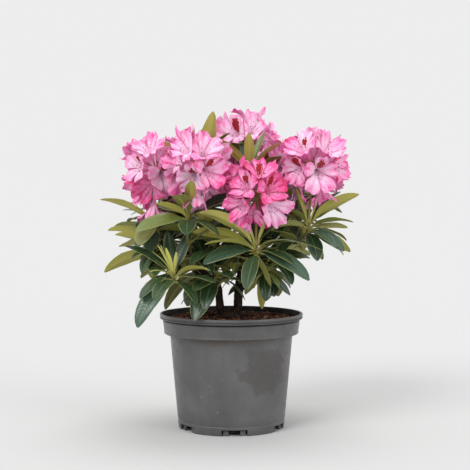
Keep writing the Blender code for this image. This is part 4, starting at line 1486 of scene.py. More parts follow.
    def try_leaf(
        self, name: str, tip: Array, lean: Array, aim: tuple, rng: Rng, spray: Place | None = None
    ) -> bool:
        """Adds one leaf if it is clear of everything and not too low.

        Args:
            name: The mass.
            tip, lean: The end of its twig, and the direction there.
            aim: The leaf's aim.
            rng: Seeded source.
            spray: The spray whose tone it takes, or None for the twig's end.

        Returns:
            Whether it was added.
        """
        bend = math.radians(rng.uniform(*self.leaf_rule.bend_range))
        width = aim[2] * rng.uniform(*self.leaf_rule.width_range)
        tone = self.leaf_tone(tip if spray is None else spray, aim)
        added = Leaf(*self.leaf_rule.ends(tip, lean, aim), bend, 0.0, width, tone)
        points = self.leaf_shape.points([added], np.random.default_rng(SEED))[0]
        tree = Room.tree(points[4::2, ::3])
        if added.tip[2] < self.lowest_leaf or not self.room.free(tree):
            return False
        self.room.take("leaf", tree)
        self.leaves[name].append(added)
        return True


def linear(colour: Colour) -> tuple[float, ...]:
    """Turns a colour of 0 to 255 as shown on a screen into linear values with an alpha of 1."""
    shares = np.array(colour) / 255
    return (*np.where(shares <= 0.04045, shares / 12.92, ((shares + 0.055) / 1.055) ** 2.4).tolist(), 1.0)


class Net:
    """A node tree being wired. A node that feeds an input stands for its first output."""

    def __init__(self, tree: NodeTree) -> None:
        """Takes the tree of a group or a material."""
        self.tree = tree

    def feed(self, socket: NodeSocket, value: Value) -> None:
        """Feeds one input.

        Args:
            socket: The input.
            value: Node, socket or plain value.
        """
        if isinstance(value, Node | NodeSocket):
            self.tree.links.new(value.outputs[0] if isinstance(value, Node) else value, socket)
        else:
            socket.default_value = value

    def put(self, node: Node, **inputs: Value) -> Node:
        """Feeds inputs of a node.

        Args:
            node: The node.
            **inputs: What feeds each input, by its name with _ for a space.

        Returns:
            The node.
        """
        for label, value in inputs.items():
            self.feed(node.inputs[label.replace("_", " ")], value)
        return node
    # The inner wall is darkened to near black: painted shade inside the pot.

    def add(self, kind: str, settings: dict | None = None, **inputs: Value) -> Node:
        """Adds a node.

        Args:
            kind: Node type, without the ShaderNode before it.
            settings: Properties that it has beside its inputs.
            **inputs: What feeds each input.

        Returns:
            The node.
        """
        node = self.tree.nodes.new(f"ShaderNode{kind}")
        for key, value in (settings or {}).items():
            setattr(node, key, value)
        return self.put(node, **inputs)

    def maths(self, operation: str, *values: Value) -> Node:
        """Works out one sum of one or two values.

        Args:
            operation: Math operation.
            *values: Nodes, sockets or numbers.

        Returns:
            The node.
        """
        node = self.add("Math", {"operation": operation})
        for number, value in enumerate(values):
            self.feed(node.inputs[number], value)
        return node

    def mix(self, share: Value, first: Value, second: Value) -> NodeSocket:
        """Mixes two colours.

        Args:
            share: Share of the second.
            first, second: The colours.

        Returns:
            The mixed colour's socket.
        """
        node = self.add("Mix", {"data_type": "RGBA"})
        for number, value in ((0, share), (6, first), (7, second)):
            self.feed(node.inputs[number], value)
        return node.outputs[2]

    def place(self) -> NodeSocket:
        """Object coordinates, which are the part's own frame."""
        return self.add("TexCoord").outputs["Object"]

    def cloud(self, scale: float, span: Span, stretch: Place = (1.0, 1.0, 1.0)) -> Node:
        """Noise in the part's frame, cut to a span.

        Args:
            scale: Scale of the noise.
            span: Noise values that map to 0 and 1.
            stretch: Stretch of the frame along each axis.

        Returns:
            The mask's node.
        """
        frame = self.add("Mapping", Vector=self.place(), Scale=stretch)
        noise = self.add("TexNoise", Vector=frame, Scale=scale, Detail=3.0)
        return self.add("MapRange", Value=noise, From_Min=span[0], From_Max=span[1])


class SharedNet(Net):
    """The net of a group that several materials place."""

    def __init__(self, name: str, *outputs: str, **inputs: float | tuple) -> None:
        """Starts the group.

        Args:
            name: Name of the group.
            *outputs: Names of its outputs, of which Color is a colour.
            **inputs: Default of each input, a colour where it is a tuple.
        """
        super().__init__(bpy.data.node_groups.new(name, "ShaderNodeTree"))
        for label in (*inputs, *outputs):
            colour = isinstance(inputs.get(label), tuple) or label == "Color"
            side, kind = ("INPUT" if label in inputs else "OUTPUT"), f"NodeSocket{'Color' if colour else 'Float'}"
            socket = self.tree.interface.new_socket(label, in_out=side, socket_type=kind)
            if label in inputs:
                socket.default_value = inputs[label]
        self.given = self.tree.nodes.new("NodeGroupInput").outputs
        self.result = self.tree.nodes.new("NodeGroupOutput")


class Effects:
    """Node groups shared by several materials, each made once."""

    def __init__(self) -> None:
        """Makes every group."""
        self.grain = self.make_grain()
        self.veins = self.make_veins()
        self.folds = self.make_relief("petal_folds", 60.0, 2.0, (2.0, 1.0, 1.0), chart=True)
        self.mottle = self.make_mottle()
        self.fissures = self.make_relief("fissures", 90.0, 4.0, (1.0, 1.0, 0.22), chart=False)

    @staticmethod
    def make_grain() -> NodeTree:
        """Fine grain: noise mapped to a span of roughness, and as a height.

        Returns:
            The group.
        """
        net = SharedNet("grain", "Roughness", "Height", Scale=300.0, Low=0.4, High=0.6)
        noise = net.add("TexNoise", Vector=net.place(), Scale=net.given["Scale"])
        ends = {"To_Min": net.given["Low"], "To_Max": net.given["High"]}
        span = net.add("MapRange", Value=noise, From_Min=0.3, From_Max=0.7, **ends)
        net.put(net.result, Roughness=span, Height=noise)
        return net.tree

    @staticmethod
    def make_veins() -> NodeTree:
        """Relief of a leaf's side veins: a sine to a power, slanted forwards on the leaf's own chart.

        Returns:
            The group.
        """
        net = SharedNet("veins", "Height", Count=11.0, Slant=0.1)
        along, aside = net.add("SeparateXYZ", Vector=net.add("UVMap", {"uv_map": "surface"})).outputs[:2]
        aside = net.maths("ABSOLUTE", net.maths("SUBTRACT", aside, 0.5))
        slanted = net.maths("MULTIPLY", aside, net.maths("MULTIPLY", net.given["Slant"], 2.0))
        count = net.maths("MULTIPLY", net.given["Count"], 2 * math.pi)
        wave = net.maths("SINE", net.maths("MULTIPLY", net.maths("SUBTRACT", along, slanted), count))
        net.put(net.result, Height=net.maths("POWER", net.maths("ABSOLUTE", wave), 0.35))
        return net.tree

    @staticmethod
    def make_relief(name: str, scale: float, detail: float, stretch: Place, chart: bool) -> NodeTree:
        """Lengthwise relief: soft folds on a petal's own chart, or ridges along the bark's fissures.

        Args:
            name: Name of the group.
            scale, detail: Scale and detail of the noise.
            stretch: Stretch of the frame along each axis.
            chart: Whether it follows the surface's chart.

        Returns:
            The group.
        """
        net = SharedNet(name, "Height", Scale=scale)
        place = net.add("UVMap", {"uv_map": "surface"}) if chart else net.place()
        frame = net.add("Mapping", Vector=place, Scale=stretch)
        height = net.add("TexNoise", Vector=frame, Scale=net.given["Scale"], Detail=detail)
        if not chart:
            ridge = net.maths("ABSOLUTE", net.maths("SUBTRACT", height, 0.5))
            height = net.maths("POWER", net.maths("MULTIPLY", ridge, 4.0), 0.5)
        net.put(net.result, Height=height)
        return net.tree

    @staticmethod
    def make_mottle() -> NodeTree:
        """Two colours mixed by cloudy noise.

        Returns:
            The group.
        """
        colours = {"Dark": (0.0, 0.0, 0.0, 1.0), "Light": (1.0, 1.0, 1.0, 1.0)}
        net = SharedNet("mottle", "Color", Scale=40.0, Low=0.4, High=0.6, **colours)
        noise = net.add("TexNoise", Vector=net.place(), Scale=net.given["Scale"], Detail=5.0)
        span = net.add("MapRange", Value=noise, From_Min=net.given["Low"], From_Max=net.given["High"])
        net.put(net.result, Color=net.mix(span, net.given["Dark"], net.given["Light"]))
        return net.tree


class MaterialNet(Net):
    """The net of one material round its shader."""

    def __init__(self, name: str, colour: Colour, effects: Effects) -> None:
        """Starts the material.

        Args:
            name: Its name.
            colour: Its main colour.
            effects: The shared groups.
        """
        self.material, self.effects = bpy.data.materials.new(name), effects
        self.material.use_nodes = True
        self.material.diffuse_color = linear(colour)
        super().__init__(self.material.node_tree)
        self.shader = self.tree.nodes["Principled BSDF"]

    def share(self, group: NodeTree, **inputs: Value) -> Node:
        """Places a shared group with its own values."""
        return self.add("Group", {"node_tree": group}, **inputs)

    def grain(self, scale: float, span: Span, relief: float, *more: tuple[float, NodeTree]) -> None:
        """Feeds roughness and normal from the grain, and from the relief of other groups.

        Args:
            scale: Scale of the grain.
            span: Lowest and highest roughness.
            relief: Depth of the grain.
            *more: Depth of each other group, and the group.
        """
        grain = self.share(self.effects.grain, Scale=scale, Low=span[0], High=span[1])
        normal = self.add("Bump", Distance=relief, Height=grain.outputs["Height"])
        for depth, group in more:
            if depth:
                normal = self.add("Bump", Distance=depth, Height=self.share(group), Normal=normal)
        self.put(self.shader, Roughness=grain, Normal=normal)

    def mottle(self, scale: float, span: Span, dark: Colour, light: Colour) -> Node:
        """Places the mottle between two colours, which its noise gives at the values of the span."""
        ends = {"Dark": linear(dark), "Light": linear(light)}
        return self.share(self.effects.mottle, Scale=scale, Low=span[0], High=span[1], **ends)


@dataclass(frozen=True)
class Finish:
    """A finish with one plain base colour, whose roughness and relief come from nodes."""

    name: str
    colour: Colour
    roughness: Span = (0.4, 0.55)
    grain: float = 260.0
    relief: float = 0.00008
    veins: float = 0.0
    folds: float = 0.0
    specular: float = 0.5
    sheen: float = 0.0
    coat: float = 0.0
    subsurface: float = 0.0
    glow: Colour = (0.003, 0.0006, 0.0003)

    def material(self, effects: Effects) -> Material:
        """Makes the material.

        Args:
            effects: The shared groups.

        Returns:
            The material.
        """
        net = MaterialNet(self.name, self.colour, effects)
        net.put(net.shader, Base_Color=linear(self.colour), Specular_IOR_Level=self.specular)
        net.put(net.shader, Sheen_Weight=self.sheen, Coat_Weight=self.coat, Coat_Roughness=0.3)
        net.put(net.shader, Subsurface_Weight=self.subsurface, Subsurface_Scale=1.0, Subsurface_Radius=self.glow)
        more = (self.veins, effects.veins), (self.folds, effects.folds)
        net.grain(self.grain, self.roughness, self.relief, *more)
        return net.material


@dataclass(frozen=True)
class EarthFinish:
    """A finish mottled between two colours, for bark, compost and such, with a rough relief."""

    name: str
    dark: Colour
    light: Colour
    scale: float = 60.0
    span: Span = (0.4, 0.62)
    roughness: Span = (0.8, 0.95)
    relief: float = 0.0006
    fissures: float = 0.0

    def material(self, effects: Effects) -> Material:
        """Makes the material.

        Args:
            effects: The shared groups.

        Returns:
            The material.
        """
        net = MaterialNet(self.name, self.light, effects)
        cloud = net.mottle(self.scale, self.span, self.dark, self.light)
        net.put(net.shader, Base_Color=cloud, Specular_IOR_Level=0.3)
        net.grain(4 * self.scale, self.roughness, self.relief, (self.fissures, effects.fissures))
        return net.material


@dataclass(frozen=True)
class PotFinish:
    """Recycled grey plastic: cloudy, faintly streaked downwards, scuffed, with one damp patch and brownish painted
    shade just under the band.
    """

    name: str = "pot_plastic"
    light: Colour = (94, 93, 93)
    dark: Colour = (76, 75, 76)
    damp: Colour = (73, 69, 68)
    # Brownish painted shade just under the band.
    under_band_shade: Colour = (74, 64, 50)
    scuff: Colour = (160, 158, 156)
    roughness: Span = (0.34, 0.5)
    damp_place: Place = (0.055, -0.08, 0.1)
    damp_size: Place = (0.042, 0.05, 0.036)
    under_band_shade_span: Span = (0.138, 0.1515)

    def material(self, effects: Effects) -> Material:
        """Makes the material.

        Args:
            effects: The shared groups.

        Returns:
            The material.
        """
        net = MaterialNet(self.name, self.light, effects)
        shade, damp = net.mottle(16.0, (0.35, 0.65), self.dark, self.light), self.damp_mask(net)
        for mask, share, colour in (
            (net.cloud(1.0, (0.52, 0.75), (90.0, 90.0, 4.0)), 0.35, self.dark),
            (damp, 0.62, self.damp),
            # Painted shade under the band, mixed in as a brownish tone.
            (self.under_band_shade_mask(net), 0.7, self.under_band_shade),
            (net.cloud(330.0, (0.7, 0.76), (1.0, 1.0, 0.6)), 0.55, self.scuff),
        ):
            shade = net.mix(net.maths("MULTIPLY", mask, share), shade, linear(colour))
        grain = net.share(effects.grain, Scale=120.0, Low=self.roughness[0], High=self.roughness[1])
        rough = net.maths("ADD", grain, net.maths("MULTIPLY", damp, 0.12))
        fine = net.share(effects.grain, Scale=900.0).outputs["Height"]
        net.put(net.shader, Base_Color=shade, Roughness=rough, Specular_IOR_Level=0.45)
        net.put(net.shader, Normal=net.add("Bump", Distance=0.00006, Height=fine))
        return net.material

    def under_band_shade_mask(self, net: Net) -> Node:
        """Cloudy mask of the brownish painted shade that gathers just under the band.

        Args:
            net: The material's net.

        Returns:
            The mask's node.
        """
        height = net.add("SeparateXYZ", Vector=net.place()).outputs[2]
        low, high = self.under_band_shade_span
        near = net.add("MapRange", Value=height, From_Min=low, From_Max=high)
        below = net.maths("LESS_THAN", height, high + 0.0005)
        return net.maths("MULTIPLY", net.maths("MULTIPLY", near, net.cloud(28.0, (0.42, 0.66))), below)

    def damp_mask(self, net: Net) -> Node:
        """Ragged oval mask of the damp patch: distance from its middle, disturbed by noise.

        Args:
            net: The material's net.

        Returns:
            The mask's node.
        """
        oval = {"Location": self.damp_place, "Scale": self.damp_size}
        oval = net.add("Mapping", {"vector_type": "TEXTURE"}, Vector=net.place(), **oval)
        far = net.add("VectorMath", {"operation": "LENGTH"}, Vector=oval).outputs["Value"]
        noise = net.add("TexNoise", Vector=net.place(), Scale=42.0, Detail=7.0, Roughness=0.6)
        ragged = net.maths("ADD", far, net.maths("MULTIPLY", noise, 1.9))
        return net.add("MapRange", Value=ragged, From_Min=2.02, From_Max=1.82)


@dataclass
class Pot:
    """Five litre container: tapered wall, stepped band with ridges, rolled lip, notches at the foot.

    Body, band and lip are given by radius and height. A notch, hole or tab is given by its width,
    how deep its inner and outer face lie behind the foot's wall, and its lower and upper height.
    """

    base_radius: float = 0.085
    body_top: Span = (0.0985, 0.1505)
    band_foot: Span = (0.1075, 0.1525)
    lip_top: Span = (0.115, 0.184)
    lip_size: Span = (0.0045, 0.008)
    wall: float = 0.002
    floor: float = 0.003
    segments: int = 180
    crease: float = 30
    azimuths: tuple[float, ...] = (-86.4, -26.4, 33.6, 93.6, 153.6, 213.6)
    notch: tuple[float, ...] = (0.041, 0.005, -0.006, -0.004, 0.0098)
    hole: tuple[float, ...] = (0.019, 0.028, -0.005, -0.004, 0.0098)
    tab: tuple[float, ...] = (0.0088, 0.0064, 0.0034, 0, 0.008)

    def profile(self) -> tuple[Array, int]:
        """Outline from the middle of the underside, up the outside and down the inside.

        Returns:
            Radii and heights, and how many of them are on the inside.
        """
        (body, step), (band, shelf), (lip, top), base = self.body_top, self.band_foot, self.lip_top, self.base_radius
        neck, foot, wall = lip - self.lip_size[0], top - self.lip_size[1], self.wall
        slope = [(share * (body - base), share * step) for share in np.linspace(0.12, 0.97, 14)]
        outside = (
            (0, 0, ((0.001, 0), (0.07, 0), (0.0705, 0.0006))),
            (base, 0, ((-0.003, 0.0006), (-0.0024, 0), (-0.001, 0.0002), (-0.0002, 0.001), (0.0002, 0.0022))),
            (base, 0, ((0.001, 0.013), (0.0004, 0.014), *slope)),
            (body, step, ((0, -0.0008), (0.0008, 0))),
            (band, shelf, ((-0.0012, -0.001), (0, -0.0004), (0.0006, 0.0004), (0.0007, 0.0016), (0.0002, 0.0024))),
            (neck, foot, ((-0.0004, -0.0034), (-0.0008, -0.0028), (-0.002, -0.0022), (-0.002, -0.0008))),
            (lip, foot, ((-0.0014, -0.0003), (-0.0004, 0.0004), (-0.0002, 0.0014), (-0.0022, 0.002))),
            (lip, foot, ((-0.0022, 0.0034), (-0.0002, 0.0042), (0, 0.0064))),
            (lip, top, ((-0.0004, -0.0006), (-0.0012, 0), (-0.0028, 0))),
        )
        inside = [
            (neck + 0.0006, top - 0.0004), (neck, top - 0.0014), (neck - 0.0012, foot - 0.001),
            (band - wall, shelf + wall), (body - wall, step + wall), (base - wall, 0.03),
            (base - wall, self.floor), (0.001, self.floor),
        ]
        points = [(r + aside, z + up) for r, z, steps in outside for aside, up in steps]
        return np.array(points + inside), len(inside)

    def block(self, azimuth: float, form: tuple) -> Array:
        """Rings of a curved block along the wall: the corners of its section, set at each azimuth.

        Args:
            azimuth: Azimuth of its middle, in degrees.
            form: The notch, hole or tab.

        Returns:
            Rings shaped (rows, 4, 3).
        """
        width, inner, outer, low, high = form
        radii, heights = self.base_radius - np.array((inner, outer, outer, inner)), np.array((low, low, high, high))
        turns = math.radians(azimuth) + np.linspace(-width / 2, width / 2, 13) / self.base_radius
        return turned(radii, heights, turns[:, None])

    def build(self, materials: list[Material]) -> list[Object]:
        """Turns the profile about Z, cuts the notches and holes, and sets tabs into the notches.

        Args:
            materials: The plastic, and the plastic of the inner side, darkened to near black as painted shade.

        Returns:
            The pot and its tabs.
        """
        (profile, inner), shell, tabs, cutters = self.profile(), Batch(), Batch(), []
        # The inside's faces take slot 1, the painted shade.
        sides = np.repeat(np.arange(len(profile) - 1) >= len(profile) - inner, self.segments).astype(int)
        shell.add_rings(turned(profile[:, :1], profile[:, 1:], turns_of(self.segments)), sides, (0, 1))
        pot = shell.build("pot_shell", materials, self.crease)
        for azimuth in self.azimuths:
            for form in (self.notch, self.hole):
                cutter = Batch()
                cutter.add_rings(self.block(azimuth, form), inward=True)
                cutters.append(cutter.build("cutter", []))
            for side in (-1, 1):
                aside = math.degrees(side * (self.hole[0] + self.tab[0]) / 2 / self.base_radius)
                tabs.add_rings(self.block(azimuth + aside, self.tab), inward=True)
        carve(pot, cutters)
        soften(pot.data, self.crease)
        built = [pot, tabs.build("pot_tabs", materials[:1], self.crease)]
        for piece in built:
            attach(piece, BODY)
        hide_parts("pot")
        return built


def carve(base: Object, cutters: list[Object]) -> None:
    """Cuts closed solids out of an object with one Boolean, and deletes the solids.

    Args:
        base, cutters: The object that is cut, and the solids.
    """
    group = bpy.data.collections.new("cutters")
    for cutter in cutters:
        group.objects.link(cutter)
        bpy.context.scene.collection.objects.unlink(cutter)
    bpy.context.scene.collection.children.link(group)
    cut = base.modifiers.new("cut", "BOOLEAN")
    cut.operation, cut.operand_type, cut.collection, cut.solver = "DIFFERENCE", "COLLECTION", group, "EXACT"
    graph = bpy.context.evaluated_depsgraph_get()
    result = bpy.data.meshes.new_from_object(base.evaluated_get(graph), depsgraph=graph)
    base.modifiers.clear()
    base.data = result
    for cutter in cutters:
        bpy.data.objects.remove(cutter)
    bpy.data.collections.remove(group)


@dataclass
class Compost:
    """Moist compost: an uneven surface that fills the pot to below its lip, and loose crumbs."""

    top: float = 0.168
    bore: float = 0.1074
    below: tuple = ((0.1059, 0.1555), (0.0962, 0.1525), (0.0842, 0.022), (0.056, 0.0033), (0.001, 0.0033))
    unevenness: float = 0.0016
    mound: Place = (0.0072, 0.0012, 0.0042)
    noise_width: float = 0.24
    rows: int = 70
    segments: int = 240
    crumbs: int = 4200
    crumb_size: Span = (0.0008, 0.0028)
    crumb_shares: tuple[float, ...] = (0.46, 0.34, 0.15, 0.05)
    tilt: float = 0.5

    def relief(self, x: Array, y: Array) -> Array:
        """Height of the surface above its level: three octaves of lattice noise, calm at the trunk.

        Args:
            x, y: Places from left to right and from front to back.

        Returns:
            Heights.
        """
        rng, u, v, radius = seeded(11), x / self.noise_width + 0.5, y / self.noise_width + 0.5, np.hypot(x, y)
        octaves = ((0.9, 9), (0.6, 26), (0.5, 70))
        height = sum(high * lattice_noise(u, v, (knots, knots), rng) for high, knots in octaves)
        high, rise, fall = self.mound
        mound = high + rise * ease(radius, 0.02, 0.05) - fall * ease(radius, 0.075, 0.107)
        return self.unevenness * height * (0.35 + 0.65 * ease(radius, 0.02, 0.045)) + mound

    def build(self, material: Material) -> Object:
        """Makes the body of compost as a closed turned surface with its relief on top.

        Args:
            material: The compost's finish.

        Returns:
            The bed.
        """
        batch, turns, below = Batch(), turns_of(self.segments), np.array(self.below)
        radii = np.append(0.0012, np.linspace(0.006, self.bore, self.rows - 1))[:, None]
        top = turned(radii, 0, turns)
        top[..., 2] = self.top + self.relief(top[..., 0], top[..., 1])
        batch.add_rings(np.concatenate([top, turned(below[:, :1], below[:, 1:], turns)]), inward=True)
        bed = batch.build("compost_bed", [material], 60)
        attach(bed, BODY)
        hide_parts("compost")
        return bed

    def build_crumbs(self, materials: list[Material]) -> Object:
        """Strews crumbs and bark chips: jittered blocks, turned at random, half sunk in the surface.

        Args:
            materials: Tones of the crumbs.

        Returns:
            The crumbs.
        """
        rng, count, (least, most) = seeded(12), self.crumbs, self.crumb_size
        radius = (self.bore - 0.003) * np.sqrt(rng.uniform(0, 1, count))
        turn = rng.uniform(0, 2 * np.pi, count)
        x, y = radius * np.cos(turn), radius * np.sin(turn)
        size = least + (most - least) * rng.uniform(0, 1, count) ** 2.2
        size = np.where(rng.uniform(0, 1, count) < 0.05, size * 1.7, size)
        ratio = rng.uniform(0.35, 1.0, (count, 3)) * (1.5, 0.8, 0.45)
        corners = np.array([(i, j, k) for k in (-1, 1) for j in (-1, 1) for i in (-1, 1)], dtype=float)
        local = corners * (1 + rng.uniform(-0.35, 0.2, (count, 8, 3))) * (size[:, None] * ratio)[:, None]
        first, last = rng.uniform(0, 2 * np.pi, (2, count))
        turns = turn_about(2, last) @ turn_about(1, rng.normal(0, self.tilt, count)) @ turn_about(2, first)
        local = np.einsum("nij,npj->npi", turns, local)
        centre = np.stack([x, y, self.top + self.relief(x, y) + 0.25 * size], axis=1)
        faces = np.array([(0, 2, 3, 1), (4, 5, 7, 6), (0, 1, 5, 4), (2, 6, 7, 3), (0, 4, 6, 2), (1, 3, 7, 5)])
        batch, tones = Batch(), rng.choice(len(materials), count, p=self.crumb_shares)
        batch.add(centre[:, None] + local, faces, tones[:, None])
        crumbs = batch.build("compost_crumbs", materials, 25)
        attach(crumbs, BODY)
        return crumbs


@dataclass
class Wood:
    """Trunk, stems and boughs with the bark's relief, and the green twigs."""

    trunk_foot: Place = (-0.004, 0.0, 0.1683)
    trunk_height: float = 0.018
    trunk_rings: tuple = ((-0.5, 0.0235), (0, 0.0208), (0.3, 0.0155), (0.65, 0.013), (1, 0.0112), (1.12, 0.006))
    trunk_width: float = 1.22
    trunk_grid: tuple[int, int] = (26, 56)
    stub_points: int = 14
    stem_grid: tuple[int, int] = (56, 30)
    bough_grid: tuple[int, int] = (30, 18)
    bough_radius: Span = (0.0045, 0.0032)
    twig_grid: tuple[int, int] = (22, 10)
    twig_radius: Span = (0.0029, 0.0024)
    relief: float = 0.1
    knot_length: float = 0.011

    def bark(self, line: Array, radii: Array, sides: int, rough: float, rng: Rng) -> Array:
        """Radii of a limb, ridged lengthwise and knotted by lattice noise.

        Args:
            line, radii: Points along it, and the radius at each.
            sides: Sides.
            rough: Depth of the relief as a share of the radius.
            rng: Seeded source.

        Returns:
            Radius of each side at each point.
        """
        down, turn = np.linspace(0, 1, len(line))[:, None], np.arange(sides) / sides
        knots = max(3, round(np.sum(np.linalg.norm(np.diff(line, axis=0), axis=1)) / self.knot_length))
        ridges = lattice_noise(turn + 0.06 * down, down, (11, knots), rng)
        lumps = lattice_noise(turn, down, (3, max(2, knots // 2)), rng)
        fine = lattice_noise(turn, down, (19, 3 * knots), rng)
        return radii[:, None] * (1 + rough * (ridges + 0.7 * lumps + 0.5 * fine))

    def limbs(self, skeleton: Skeleton) -> list[tuple]:
        """Lists stems with their stubs on the trunk, swollen where boughs leave, and then boughs.

        Args:
            skeleton: The rule of the limbs.

        Returns:
            Line, radii, sides and depth of the bark's relief of each.
        """
        made, foot, (count, sides) = [], np.array(self.trunk_foot), self.stem_grid
        shares = np.linspace(0, 1, count)
        for stem in STEMS.values():
            top = np.array(stem.foot)
            start = foot + (0.25 * (top[0] - foot[0]), 0, 0.4 * self.trunk_height)
            rise = np.array((0, 0, 0.4 * (top[2] - start[2])))
            stub, _ = bezier(start, (start + top) / 2 - 0.3 * rise, top - rise, top, self.stub_points)
            points, _ = skeleton.stem_curve(stem, count)
            radii = np.linspace(stem.foot_radius, stem.top_radius, count)
            for bough in BOUGHS.values():
                if STEMS[bough.stem] is stem:
                    radii = radii * (1 + 0.16 * np.exp(-(((shares - bough.share - 0.02) / 0.035) ** 2)))
            below = np.linspace(stem.foot_radius * 1.15, stem.foot_radius * 1.02, self.stub_points - 1)
            made.append((np.concatenate([stub[:-1], points]), np.append(below, radii), sides, self.relief))
        count, sides = self.bough_grid
        radii = np.linspace(*self.bough_radius, count) * (1 + 0.22 * np.exp(-np.linspace(0, 6, count)))
        for bough in BOUGHS.values():
            made.append((skeleton.bough_curve(bough, count)[0], radii, sides, 0.8 * self.relief))
        return made

    def build(self, skeleton: Skeleton, material: Material) -> Object:
        """Makes trunk, stubs, stems and boughs as one piece.

        Args:
            skeleton, material: The rule of the limbs, and the bark.

        Returns:
            The piece.
        """
        batch, rng = Batch(), seeded(21)
        batch.add_rings(self.trunk(rng))
        for line, radii, sides, rough in self.limbs(skeleton):
            batch.add_tubes(line[None], self.bark(line, radii, sides, rough, rng)[None], sides)
        wood = batch.build("bark", [material], 60)
        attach(wood, BODY)
        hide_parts("trunk", *(f"stem_{name}" for name in STEMS), *(f"bough_{name}" for name in BOUGHS))
        return wood

    def trunk(self, rng: Rng) -> Array:
        """Rings of the trunk: an oval whose foot spreads in four roots, sunk in the compost.

        Args:
            rng: Seeded source.

        Returns:
            Rings shaped (rows, sides, 3).
        """
        (shares, radii), (rows, sides) = np.array(self.trunk_rings).T, self.trunk_grid
        share, down = (np.linspace(*ends, rows)[:, None] for ends in ((shares[0], shares[-1]), (0, 1)))
        turn, around = turns_of(sides), np.arange(sides) / sides
        ridge = 1 + 0.11 * (1 - np.clip(share, -0.5, 1)) * np.cos(4 * turn + 0.7)
        noise = lattice_noise(around, down, (13, 4), rng)
        noise = noise + 0.6 * lattice_noise(around, down, (25, 9), rng)
        wide = np.interp(share, shares, radii) * ridge * (1 + self.relief * noise)
        return turned(wide, share * self.trunk_height, turn) * (self.trunk_width, 1, 1) + self.trunk_foot

    def build_twigs(self, crown: Crown, material: Material) -> Object:
        """Makes all twigs, with the faint rings that old bud scales leave.

        Args:
            crown, material: The grown crown, and the green bark.

        Returns:
            The twigs.
        """
        batch, (rows, sides) = Batch(), self.twig_grid
        fine = np.linspace(0, 1, rows)
        rings = np.linspace(*self.twig_radius, rows) * (1 + 0.1 * np.sin(fine * 40) ** 8)
        for points, share in crown.twigs:
            steps = np.linspace(0, 1, len(points))
            line = np.stack([np.interp(fine, steps, points[:, axis]) for axis in range(3)], axis=1)
            line[1:-1] = (line[:-2] + 2 * line[1:-1] + line[2:]) / 4
            batch.add_tubes(line[None], share * rings, sides)
        twigs = batch.build("twigs", [material], 60)
        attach(twigs, BODY)
        return twigs


@dataclass
class Foliage:
    """All leaves of the plant, one piece for each mass."""

    shape: LeafShape = LeafShape()
    uppers: tuple = ((34, 58, 37), (48, 73, 44), (57, 84, 66), (104, 116, 50), (184, 192, 90))
    unders: tuple = ((126, 130, 58), (144, 147, 68), (150, 151, 78), (173, 168, 78), (196, 194, 102))

    def finishes(self) -> list[Finish]:
        """Finishes in the order of the slots: upper sides and undersides by LeafTone, then zones.

        Returns:
            The finishes.
        """
        names, upper, under = [tone.name.lower() for tone in LeafTone], self.uppers, self.unders
        return [
            *(
                Finish(f"leaf_{name}", colour, (0.24, 0.4), 170.0, 0.00012, veins=0.00022, coat=0.15)
                for name, colour in zip(names, upper, strict=True)
            ),
            *(
                Finish(f"leaf_under_{name}", colour, (0.5, 0.7), 240.0, 0.0001, veins=0.0003)
                for name, colour in zip(names, under, strict=True)
            ),
            Finish("leaf_rib", (98, 118, 74), (0.35, 0.5)),
            Finish("leaf_under_rib", (188, 178, 104), (0.45, 0.6)),
            # Pale margin: the leaf's edge colour, and partly painted highlight of the rolled edge.
            Finish("leaf_edge", (150, 156, 100), (0.35, 0.5)),
            Finish("leaf_stalk", (152, 146, 68), (0.4, 0.55)),
        ]

    def build(self, crown: Crown, materials: list[Material]) -> list[Object]:
        """Makes the leaves of every mass.

        Args:
            crown, materials: The grown crown, and the materials in the order of the finishes.

        Returns:
            The pieces.
        """
        built, first_shared = [], 2 * len(LeafTone) - LeafZone.RIB.value
        for index, (name, leaves) in enumerate(crown.leaves.items()):
            batch, tones, slots = Batch(), np.array([leaf.tone.value for leaf in leaves])[:, None], []
            for zones in self.shape.zones():
                slot = np.where(zones == LeafZone.BLADE.value, tones, first_shared + zones)
                slots.append(np.where(zones == LeafZone.UNDER.value, len(LeafTone) + tones, slot))
            batch.add_sheet(self.shape.points(leaves, seeded(index, 31)), self.shape.thickness(), *slots)
            piece = batch.build(f"foliage_{name}", materials)
            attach(piece, BODY)
            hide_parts(f"leaves_{name}")
            built.append(piece)
        return built


